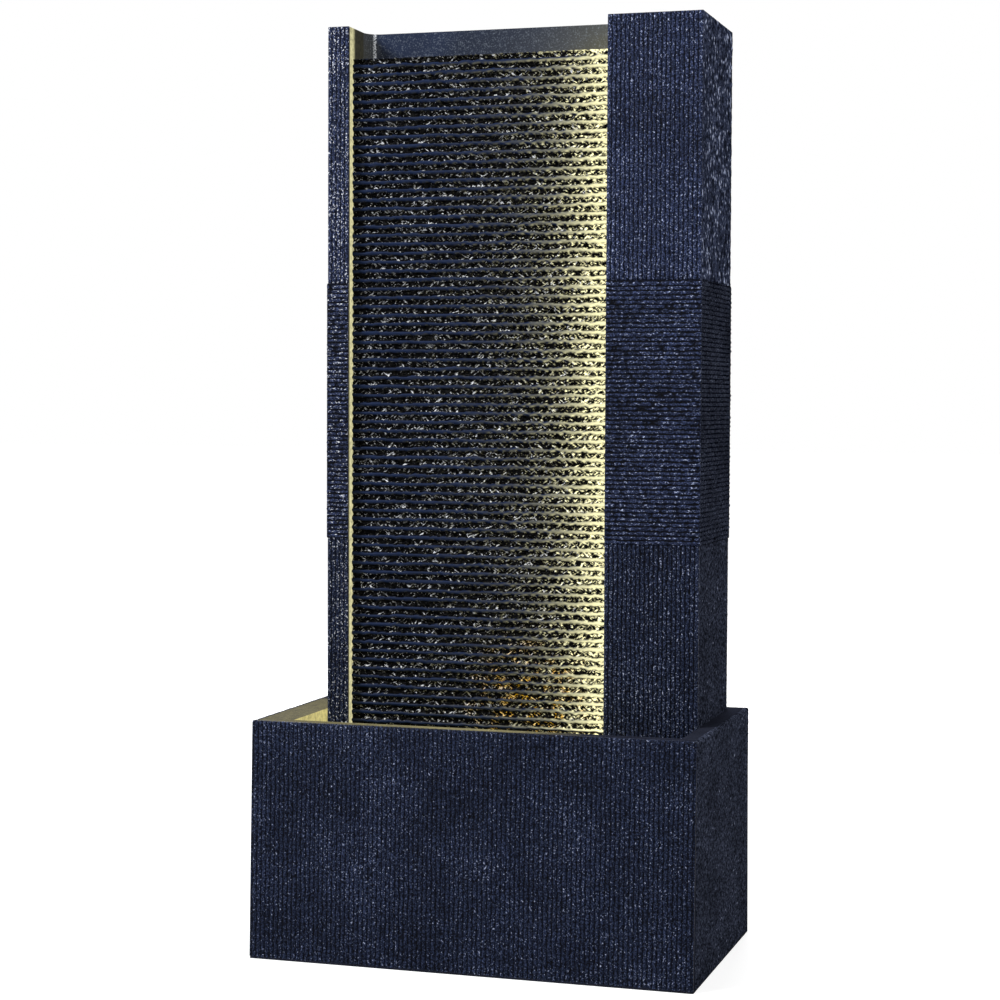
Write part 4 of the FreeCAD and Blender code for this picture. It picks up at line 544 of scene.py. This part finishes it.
# Waves of the ribs' drift, of their shake and of the chips in them, in metres
DRIFT_WAVES = (0.022, 0.022, 0.017)
SHAKE_WAVES = (0.006, 0.006, 0.006)
CHIP_WAVES = (0.0026, 0.0026, 0.003)
# The wet ledges' sway: its height, its waves across and up in metres, and its seed
SWAYS = ((0.0014, 0.040, 0.016, 51.0), (0.0012, 0.009, 0.012, 53.0))
# Steps of the reliefs' grids, across and up, in metres
BASIN_RIB_GRID = (0.00105, 0.0021)
BASIN_BACK_GRID = (0.0019, 0.0019)
PILLAR_RIB_GRID = (0.00086, 0.0018)
PILLAR_SIDE_GRID = (0.0018, 0.0015)
PILLAR_PLAIN_GRID = (0.002, 0.002)
PILLAR_BACK_GRID = (0.0021, 0.0021)
PEBBLE_GRID = (0.0018, 0.0018)
# Height inside the basin where the pillars' reliefs begin
PILLAR_FOOT = 0.2
# The wet wall: its castings, and the faces of each one across and up
WALL_CASTINGS = 3
WALL_FACES = (225, 400)


def wavy(point, size, seed):
    """Smooth noise between about -1 and 1, with waves of one size."""
    return noise.noise(Vector((point[0] / size[0], point[1] / size[1], point[2] / size[2]))
                       + Vector((seed, 1.7 * seed, -seed)))


def clamp(value, low=0.0, high=1.0):
    """Keep a value between two limits."""
    return max(low, min(high, value))


def beaded_ribs(pitch, depth, seed, bead=0.0055, upright=True, wander=1.0):
    """Relief of ribs that break up into beads."""
    def relief(across, point):
        """Return the height and the share of a full crest at one place."""
        run = across if upright else point.z
        drift = 0.15 * wavy(point, DRIFT_WAVES, seed)
        drift += 0.12 * wavy(point, SHAKE_WAVES, seed + 3)
        phase = run / pitch + wander * drift
        rib = 0.5 + 0.5 * math.cos(math.tau * phase)
        row = 7.31 * math.floor(phase + 0.5)
        if upright:
            beads = noise.noise(Vector((row, seed, point.z / bead)))
        else:
            beads = noise.noise(Vector((point.x / bead, point.y / bead, row)))
        chips = wavy(point, CHIP_WAVES, seed + 11)
        level = clamp(rib ** 0.6 * (0.72 + 0.55 * beads) + 0.25 * chips * rib, high=FULL)
        return depth * level, level
    return relief


def pebbles(size, depth, seed, tall=1.0):
    """Relief of small pebbles or, with a tall share, of hammered streaks."""
    def relief(across, point):
        """Return the height and the share of a full crest at one place."""
        coarse = wavy(point, (size, size, size * tall), seed)
        fine = wavy(point, (size / 2.3, size / 2.3, size * tall / 2.3), seed + 5)
        level = clamp(0.5 + 0.55 * coarse + 0.28 * fine, high=FULL)
        return depth * level, level
    return relief


def roll(distance, half, corner, reach):
    """Walk along a face and round its edge: the place, the drop behind the face and the turn."""
    flat = half - corner
    if abs(distance) <= flat:
        return distance, 0.0, 0.0
    turn = min((abs(distance) - flat) / corner, reach)
    place = flat + corner * math.sin(turn)
    drop = corner * (1 - math.cos(turn))
    return math.copysign(place, distance), drop, math.copysign(turn, distance)


def relief_sheet(name, look, side, middle, width, low, high, step, relief, depth, corner,
                 lean=0.0, foot_roll=True):
    """Cover one upright face with a relief whose edges roll round into its neighbours."""
    across, outward = SIDES[side]
    centre = (low + high) / 2
    half_width = width / 2
    half_height = (high - low) / 2
    side_reach = math.pi / 4
    half_walk = half_width - corner + corner * side_reach
    half_climb = half_height - corner + corner * math.pi / 2
    mesh = bmesh.new()
    bmesh.ops.create_grid(mesh, x_segments=round(2 * half_walk / step[0]),
                          y_segments=round(2 * half_climb / step[1]), size=0.5)
    level = mesh.verts.layers.float.new("relief")
    for point in mesh.verts:
        walked = point.co.x * 2 * half_walk
        climbed = point.co.y * 2 * half_climb
        rolls = climbed > 0 or foot_roll
        place, drop, turn = roll(walked, half_width, corner, side_reach)
        rise, sink, tip = roll(climbed, half_height, corner, math.pi / 2 if rolls else 0.0)
        lean_here = lean * (1 - clamp((centre + rise - low) / (high - low)))
        base = middle + across * place + UP * (centre + rise)
        base += outward * (lean_here - drop - sink)
        height, crest = relief(place, base)
        calm = clamp((half_walk - abs(walked)) / CALM)
        end = clamp((half_climb - abs(climbed)) / CALM) if rolls else 1.0
        height = height * calm + CALM_HEIGHT * depth * (1 - calm)
        height *= END_HEIGHT + (1 - END_HEIGHT) * end
        normal = outward * math.cos(turn) + across * math.sin(turn)
        normal = normal * math.cos(tip) + UP * math.sin(tip)
        point.co = base + normal * height
        point[level] = crest * calm * end + CALM_CREST * (1 - calm * end)
    for point in fold_rim(mesh):
        point.co -= outward * HEM
    close_back(mesh)
    finish_piece(name, mesh, *look)


def fold_rim(mesh):
    """Fold a sheet's rim back, and return the new corners, which still lie on the old ones."""
    rim = [edge for edge in mesh.edges if edge.is_boundary]
    folded = bmesh.ops.extrude_edge_only(mesh, edges=rim)["geom"]
    return [item for item in folded if isinstance(item, bmesh.types.BMVert)]


def close_back(mesh):
    """Close a sheet behind its folded rim."""
    rim = [edge for edge in mesh.edges if edge.is_boundary]
    bmesh.ops.contextual_create(mesh, geom=rim)
    bmesh.ops.recalc_face_normals(mesh, faces=mesh.faces[:])


def add_object(name, data):
    """Add an object to the scene."""
    thing = bpy.data.objects.new(name, data)
    bpy.context.scene.collection.objects.link(thing)
    return thing


def finish_piece(name, mesh, slot, *materials):
    """Turn a bmesh into a smooth piece of the fountain, with its materials; its slot is not used.
    """
    for face in mesh.faces:
        face.smooth = True
    data = bpy.data.meshes.new(name)
    mesh.to_mesh(data)
    mesh.free()
    for material in materials:
        data.materials.append(material)
    piece = add_object(name, data)
    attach(piece, "fountain")
    return piece


class FOUNTAIN_OT_basin(bpy.types.Operator):
    """Cover the basin's four sides with ribs and pebbles"""

    bl_idname = "fountain.basin"
    bl_label = "Basin casting"
    bl_options = {"REGISTER", "UNDO"}

    def execute(self, context):
        """Make the four reliefs and paint the casting under them."""
        sizes = context.scene.fountain_sizes
        colours = context.scene.fountain_colours
        ribbed = ribbed_resin("Painted polyresin, beaded ribs", colours.low_crest,
                              colours.groove, colours.rubbed, rubbed_from=0.705,
                              crest_range=(0.06, 0.5))
        pebbled = ribbed_resin("Painted polyresin, pebbled", colours.flank, colours.groove,
                               colours.rubbed, rubbed_from=0.76, **PEBBLED)
        low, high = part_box("basin")
        lean = sizes.basin_lean
        width = high.x - low.x
        depth = high.y - low.y - 2 * lean
        ribs = beaded_ribs(sizes.basin_rib, sizes.rib_relief, 1.0)
        stones = pebbles(sizes.pebble, sizes.pebble_relief, 21.0)
        # Each side: width, depth behind it, lean, relief and its height, grid and material
        for side, across, reach, lean_here, relief, height, step, material in (
            ("front", width, depth, lean, ribs, sizes.rib_relief, BASIN_RIB_GRID, ribbed),
            ("right", depth, width, 0.0, stones, sizes.pebble_relief, PEBBLE_GRID, pebbled),
            ("left", depth, width, 0.0, stones, sizes.pebble_relief, PEBBLE_GRID, pebbled),
            ("back", width, depth, lean, stones, sizes.pebble_relief, BASIN_BACK_GRID, pebbled),
        ):
            relief_sheet(f"basin_{side}_relief", ("cast_basin", material), side,
                         SIDES[side][1] * (reach / 2), across, low.z, high.z, step, relief,
                         height, sizes.rim_round, lean_here, foot_roll=False)
        # The basin's plain faces carry the strip's painted light, in the wall's painted shade
        dress(plain_resin("Painted polyresin, plain", colours.deck, glow=DECK_GLOW,
                          shadow=DECK_SHADE, glow_tone=DECK_TONE, lift=DECK_RISE), "basin")
        return {"FINISHED"}


class FOUNTAIN_OT_pillars(bpy.types.Operator):
    """Cover both pillars with their three cast blocks"""

    bl_idname = "fountain.pillars"
    bl_label = "Pillar castings"
    bl_options = {"REGISTER", "UNDO"}

    def execute(self, context):
        """Make a front and an outer side for each block of each pillar, and their backs."""
        sizes = context.scene.fountain_sizes
        colours = context.scene.fountain_colours
        level_strokes = {"stroke": (0.0036, 0.0018, 0.0016), "crest_range": (0.29, 0.47),
                         "slope": 0.25}

        def skin(name, crest, rub, **looks):
            """Return the slot and one painted finish of the pillars."""
            return "cast_tower", ribbed_resin(f"Painted polyresin, {name}", crest,
                                              colours.groove, rub, **looks)

        ribbed = skin("fine ribs", colours.crest, colours.rubbed, rubbed_from=0.68)
        banded = skin("level ribs", colours.crest, colours.rubbed, rubbed_from=0.68,
                      **level_strokes)
        footed = skin("foot ribs", colours.low_crest, colours.rubbed, rubbed_from=0.685,
                      crest_range=(0.12, 0.45))
        # The left pillar's fronts carry more and whiter painted glints
        glinted_top = skin("worn ribs", colours.crest, colours.splash,
                        stroke=(0.0020, 0.0020, 0.0044))
        glinted_bands = skin("worn level ribs", colours.crest, colours.splash,
                          rubbed_from=0.665, **level_strokes)
        glinted_foot = skin("worn foot ribs", colours.low_crest, colours.splash,
                         rubbed_from=0.665)
        pebbled = skin("pebbled pillars", colours.flank, colours.rubbed, rubbed_from=0.75,
                       **PEBBLED)
        lined = skin("lined sides", colours.flank, colours.rubbed, gloss=0.6,
                     shine=SIDE_SHINE, rubbed_from=0.75, crest_range=(0.12, 0.38))
        hammered = skin("hammered", colours.hammered, colours.rubbed, gloss=0.5,
                        shine=SIDE_SHINE, stroke=(0.0040, 0.0080, 0.0090),
                        crest_range=(-0.1, 0.4), slope=0.2)
        pitch = sizes.pillar_rib
        depth = sizes.rib_relief
        fine = sizes.pebble_relief
        edge = sizes.edge_round
        upright = beaded_ribs(pitch, depth, 31.0, bead=0.008)
        level = beaded_ribs(pitch, depth, 37.0, bead=0.008, upright=False, wander=0.45)
        lower = beaded_ribs(pitch, depth, 41.0)
        streaks = pebbles(sizes.pebble, 1.4 * fine, 43.0, tall=2.4)
        stones = pebbles(sizes.pebble, fine, 47.0)
        top = CAD_BOX[1].z
        joint_high = top - sizes.block_height
        joint_low = joint_high - sizes.block_height
        # Each block: foot, head, how proud it stands, relief of its front, relief and skin of
        # its side
        blocks = (
            ("top", joint_high, top, 0.0, upright, streaks, hammered),
            ("middle", joint_low, joint_high, sizes.block_step, level, level, lined),
            ("foot", PILLAR_FOOT, joint_low, 0.0, lower, stones, pebbled),
        )
        for pillar, outer, front_skins in (
            ("right_pillar", "right", (ribbed, banded, footed)),
            ("left_pillar", "left", (glinted_top, glinted_bands, glinted_foot)),
        ):
            # Planes of the upper and the lower block, behind the middle one's
            low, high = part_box(pillar)
            sign = SIDES[outer][1].x
            face = low.y + sizes.block_step
            inner = low.x if sign > 0 else high.x
            side = (high.x if sign > 0 else low.x) - sign * sizes.block_step
            for block, front_skin in zip(blocks, front_skins):
                name, foot, head, proud, front, flank, flank_skin = block
                plane = side + sign * proud
                relief_sheet(f"{pillar}_{name}_front", front_skin, "front",
                             Vector(((inner + plane) / 2, face - proud, 0)),
                             abs(plane - inner), foot, head, PILLAR_RIB_GRID, front, depth, edge)
                span = high.y - (face - proud)
                seen = outer == "right" or name == "middle"
                relief_sheet(f"{pillar}_{name}_side", flank_skin, outer,
                             Vector((plane, high.y - span / 2, 0)), span, foot, head,
                             PILLAR_SIDE_GRID if seen else PILLAR_PLAIN_GRID, flank,
                             depth if name == "middle" else fine, edge)
            relief_sheet(f"{pillar}_back", pebbled, "back",
                         Vector(((inner + side) / 2, high.y, 0)), abs(side - inner),
                         PILLAR_FOOT, top, PILLAR_BACK_GRID, stones, fine, edge)
        # The pillars' plain faces carry the strip's painted light, in the wall's painted shade
        dress(plain_resin("Painted polyresin, pillars", colours.smooth, glow=PILLAR_GLOW,
                          shadow=PILLAR_SHADE), "left_pillar", "right_pillar", "top_cover")
        return {"FINISHED"}


def wet_ledges(pitch, depth, top):
    """Relief of ledges: a smooth lip, and a broken edge under it that falls back."""
    smooth_share = 0.33
    lip = 0.86
    # Slant, length and thickness of the broken edge's strokes
    slant = 0.65
    stroke = (0.0058, 0.0026)

    def relief(across, height):
        """Return how far the ledge stands out, and how broken it is, at one place."""
        sway = sum(size * noise.noise(Vector((across / wide, height / tall, seed)))
                   for size, wide, tall, seed in SWAYS)
        part = ((top - height + sway) / pitch + smooth_share) % 1.0
        if part < smooth_share:
            share = part / smooth_share
            return depth * (lip + (1 - lip) * math.sin(math.pi * share)), 0.0
        share = (part - smooth_share) / (1 - smooth_share)
        strength = math.sin(math.pi * share) ** 0.6
        strokes = -1.0
        for turn, seed in ((slant, 57.0), (-slant, 59.0)):
            along = (across * math.cos(turn) + height * math.sin(turn)) / stroke[0]
            over = (height * math.cos(turn) - across * math.sin(turn)) / stroke[1]
            strokes = max(strokes, noise.noise(Vector((along, over, seed))))
        stand = lip - 0.75 * strength + 0.9 * strength * strokes
        return depth * clamp(stand, -0.15, 1.1), clamp(share * 9)

    return relief


class FOUNTAIN_OT_wall(bpy.types.Operator):
    """Model the wet wall between the pillars, in three castings"""

    bl_idname = "fountain.wall"
    bl_label = "Wet wall"
    bl_options = {"REGISTER", "UNDO"}

    def execute(self, context):
        """Make the ledges and their backing."""
        sizes = context.scene.fountain_sizes
        colours = context.scene.fountain_colours
        wet = wet_resin("Wet polyresin", colours.wall_face, colours.wall_break_shade, colours.splash,
                        colours.amber_light)
        rear = plain_resin("Unpainted polyresin, rear", linear("2a2b2e"), 0.7, 2.4, 0.0006)
        low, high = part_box("water_wall")
        relief = wet_ledges(sizes.wall_rib, sizes.wall_relief, high.z)
        groove = low.y + sizes.wall_relief
        share = (high.z - low.z) / WALL_CASTINGS
        for index in range(WALL_CASTINGS):
            foot = low.z + index * share
            mesh = bmesh.new()
            bmesh.ops.create_grid(mesh, x_segments=WALL_FACES[0], y_segments=WALL_FACES[1],
                                  size=0.5)
            broken = mesh.verts.layers.float.new("broken")
            for point in mesh.verts:
                across = low.x + (point.co.x + 0.5) * (high.x - low.x)
                height = foot + (point.co.y + 0.5) * share
                stand, crack = relief(across, height)
                point.co = Vector((across, groove - stand, height))
                point[broken] = crack
            for point in fold_rim(mesh):
                point.co.y = high.y
            close_back(mesh)
            # The back is bare resin
            for face in mesh.faces:
                if face.normal.y > 0.9:
                    face.material_index = 1
            piece = finish_piece(f"wet_wall_{index + 1}", mesh, "cast_wall", wet, rear)
            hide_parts("water_wall")
        dress(slate_resin("Smooth slate polyresin", colours.header, colours.fleck),
              "header_trough")
        return {"FINISHED"}


class FOUNTAIN_OT_lights(bpy.types.Operator):
    """Light the strip in the wide pillar and the lamp in the basin"""

    bl_idname = "fountain.lights"
    bl_label = "Built-in lights"
    bl_options = {"REGISTER", "UNDO"}

    def execute(self, context):
        """Dress the light strip and the lamp."""
        colours = context.scene.fountain_colours
        dress(lit_cover("Opal diffuser, lit", colours.warm_light, DIFFUSER_GLOW), "led_diffuser")
        dress(lit_cover("Lamp lens, lit", colours.amber_light, LENS_GLOW), "spot_lens")
        dress(moulded_plastic("Light chip, phosphor", linear("f2d98a"), 0.3),
              "led_chips", "spot_led_board")
        dress(moulded_plastic("White flexible board", linear("e8e8e2"), 0.45), "led_strip")
        dress(drawn_metal("Anodised aluminium", linear("c4c6c8"), 0.32, (1, 1, 0.02)),
              "led_channel")
        dress(moulded_plastic("White polycarbonate", linear("dcdcd8"), 0.4),
              "led_end_caps", "flow_dial")
        dress(moulded_plastic("Black polypropylene", linear("141416"), 0.42),
              "spot_housing", "spot_bezel", "spot_pivot_screws", "door_knob", "pump_motor",
              "pump_volute", "intake_cover", "magnetic_catch")
        return {"FINISHED"}


class FOUNTAIN_OT_fittings(bpy.types.Operator):
    """Dress the pump, the pipework, the back panel and the small fittings"""

    bl_idname = "fountain.fittings"
    bl_label = "Fittings"
    bl_options = {"REGISTER", "UNDO"}

    def execute(self, context):
        """Give each remaining node its material."""
        dress(moulded_plastic("Grey PVC", linear("5c5f61"), 0.38),
              "drain_bush", "outlet_nipple", "trough_fitting", "fitting_nut", "spreader_pipe",
              "spreader_caps")
        dress(moulded_plastic("Nitrile rubber", linear("151515"), 0.62),
              "drain_plug", "cable_grommet", "spot_suction_cup", "shaft_bushes",
              "pump_suction_cups", "fitting_gasket")
        dress(moulded_plastic("Soft clear PVC", linear("b9c2c2"), 0.22), "riser_hose")
        dress(drawn_metal("Stainless steel", linear("b8babc"), 0.28, (0.05, 1, 1)),
              "panel_screws", "wall_brackets", "bracket_screws", "catch_plate", "hinge_leaves",
              "door_hinge_leaves", "hinge_pins", "spot_bracket", "hose_clamps")
        dress(moulded_plastic("Ferrite magnet", linear("2a2a2b"), 0.5), "impeller")
        dress(moulded_plastic("Alumina ceramic", linear("ece9e2"), 0.18), "impeller_shaft")
        dress(plain_resin("Moulded sheet, orange peel", linear("262932"), 0.55, 3.2, 0.0008),
              "rear_panel", "access_door")
        dress(plain_resin("Moulded bar, matt", linear("23252b"), 0.6), "rear_battens")
        return {"FINISHED"}


# Stage

# The camera of the photograph: its place in metres, its turns in degrees and its lens in mm
CAMERA_PLACE = Vector((0.89356, -2.9472, 0.73983))
CAMERA_YAW = 17.05
CAMERA_PITCH = 2.5
CAMERA_TILT = 0.25
CAMERA_LENS = 82.15
CAMERA_SENSOR = 36.0
# Studio lamps: name, place, aim, width and power in watts
MIDDLE = (0.0, 0.0, 0.65)
STUDIO_LAMPS = (
    ("key", (-2.2, -2.3, 2.8), MIDDLE, 1.0, 150.0),
    ("fill", (2.4, -1.3, 2.5), (0.0, 0.0, 0.95), 1.0, 42.0),
    ("top", (-0.3, -0.4, 3.2), MIDDLE, 1.2, 14.0),
    ("back", (-0.6, 2.9, 2.6), MIDDLE, 1.4, 110.0),
)
FLOOR_REACH = 30.0
# How bright the floor looks beside the object and far from it, and from what distances
FLOOR_GLOW = (0.80, 1.0)
FLOOR_FADE = (0.9, 2.6)
# Light that the white surroundings give the object
ROOM_LIGHT = 0.10
WHITE = (1.0, 1.0, 1.0, 1.0)


def look_from(place, yaw, pitch, tilt):
    """Return a camera's matrix from its place and its turns in degrees."""
    yaw, pitch, tilt = (math.radians(value) for value in (yaw, pitch, tilt))
    forward = Vector((-math.sin(yaw) * math.cos(pitch), math.cos(yaw) * math.cos(pitch),
                      -math.sin(pitch)))
    right = Vector((math.cos(yaw), math.sin(yaw), 0))
    upward = right.cross(forward)
    turned_right = right * math.cos(tilt) + upward * math.sin(tilt)
    turned_up = upward * math.cos(tilt) - right * math.sin(tilt)
    matrix = Matrix((turned_right, turned_up, -forward)).transposed().to_4x4()
    matrix.translation = place
    return matrix


def soft_box(name, place, aim, size, power):
    """Hang one large soft square lamp that points at a place."""
    data = bpy.data.lights.new(name, "AREA")
    data.shape = "RECTANGLE"
    data.size = size
    data.size_y = size
    data.energy = power
    lamp = add_object(name, data)
    lamp.location = place
    lamp.rotation_euler = (Vector(aim) - Vector(place)).to_track_quat("-Z", "Y").to_euler()


def seen_as_background(tree):
    """Return 1 where a ray comes from the camera, a reflection or a clear piece."""
    path = add_node(tree, "LightPath").outputs
    direct = add_node(tree, "Math", {0: path["Is Camera Ray"], 1: path["Is Glossy Ray"]},
                      operation="MAXIMUM")
    return add_node(tree, "Math", {0: direct, 1: path["Is Transmission Ray"]},
                    operation="MAXIMUM")


class FOUNTAIN_OT_stage(bpy.types.Operator):
    """Set up the floor, the studio lamps, the world and the camera"""

    bl_idname = "fountain.stage"
    bl_label = "Stage"
    bl_options = {"REGISTER", "UNDO"}

    def execute(self, context):
        """Make the stage."""
        scene = context.scene
        mesh = bmesh.new()
        bmesh.ops.create_grid(mesh, x_segments=1, y_segments=1, size=FLOOR_REACH)
        data = bpy.data.meshes.new("floor")
        mesh.to_mesh(data)
        mesh.free()
        floor = add_object("floor", data)
        # Matt grey paper that the camera sees as white, with the object's shadow on it
        material, tree, shader, place = new_material("Matt paper")
        distance = add_node(tree, "VectorMath", {0: place}, operation="LENGTH")
        lift = add_node(tree, "MapRange", {
            "Value": distance, "From Min": FLOOR_FADE[0], "From Max": FLOOR_FADE[1],
            "To Min": FLOOR_GLOW[0], "To Max": FLOOR_GLOW[1]})
        glow = add_node(tree, "Math", {0: seen_as_background(tree), 1: lift},
                        operation="MULTIPLY")
        feed(tree, shader, {"Base Color": opaque(linear("b4b4b4")), "Roughness": 0.9,
                            "Specular IOR Level": 0.0,
                            "Emission Color": WHITE, "Emission Strength": glow})
        floor.data.materials.append(material)

        world = bpy.data.worlds.new("Studio")
        scene.world = world
        world.use_nodes = True
        tree = world.node_tree
        level = add_node(tree, "MapRange", {
            "Value": seen_as_background(tree), "To Min": ROOM_LIGHT, "To Max": 1.0})
        feed(tree, tree.nodes["Background"], {"Color": WHITE, "Strength": level})

        for lamp in STUDIO_LAMPS:
            soft_box(*lamp)

        data = bpy.data.cameras.new("photo_camera")
        data.sensor_width = CAMERA_SENSOR
        data.lens = CAMERA_LENS
        camera = add_object("photo_camera", data)
        camera.matrix_world = look_from(CAMERA_PLACE, CAMERA_YAW, CAMERA_PITCH, CAMERA_TILT)
        scene.camera = camera
        scene.view_settings.view_transform = "Standard"
        return {"FINISHED"}


OPERATORS = (
    FOUNTAIN_OT_basin,
    FOUNTAIN_OT_pillars,
    FOUNTAIN_OT_wall,
    FOUNTAIN_OT_lights,
    FOUNTAIN_OT_fittings,
    FOUNTAIN_OT_stage,
)


class FOUNTAIN_PT_panel(bpy.types.Panel):
    """Lists the fountain's pieces, sizes and colours"""

    bl_label = "Garden Wall Fountain"
    bl_idname = "FOUNTAIN_PT_panel"
    bl_space_type = "VIEW_3D"
    bl_region_type = "UI"
    bl_category = "Fountain"

    def draw(self, context):
        """Draw the buttons and the properties."""
        layout = self.layout
        for operator in OPERATORS:
            layout.operator(operator.bl_idname)
        for group in (context.scene.fountain_sizes, context.scene.fountain_colours):
            box = layout.box()
            for name in type(group).__annotations__:
                box.prop(group, name)


CLASSES = (FountainSizes, FountainColours, *OPERATORS, FOUNTAIN_PT_panel)


def register():
    """Register the classes and their properties."""
    for item in CLASSES:
        bpy.utils.register_class(item)
    bpy.types.Scene.fountain_sizes = PointerProperty(type=FountainSizes)
    bpy.types.Scene.fountain_colours = PointerProperty(type=FountainColours)


def unregister():
    """Remove the classes and their properties."""
    del bpy.types.Scene.fountain_colours
    del bpy.types.Scene.fountain_sizes
    for item in reversed(CLASSES):
        bpy.utils.unregister_class(item)


def main():
    """Run every operator in order."""
    register()
    bpy.ops.fountain.basin()
    bpy.ops.fountain.pillars()
    bpy.ops.fountain.wall()
    bpy.ops.fountain.lights()
    bpy.ops.fountain.fittings()
    bpy.ops.fountain.stage()


if __name__ == "__main__":
    main()
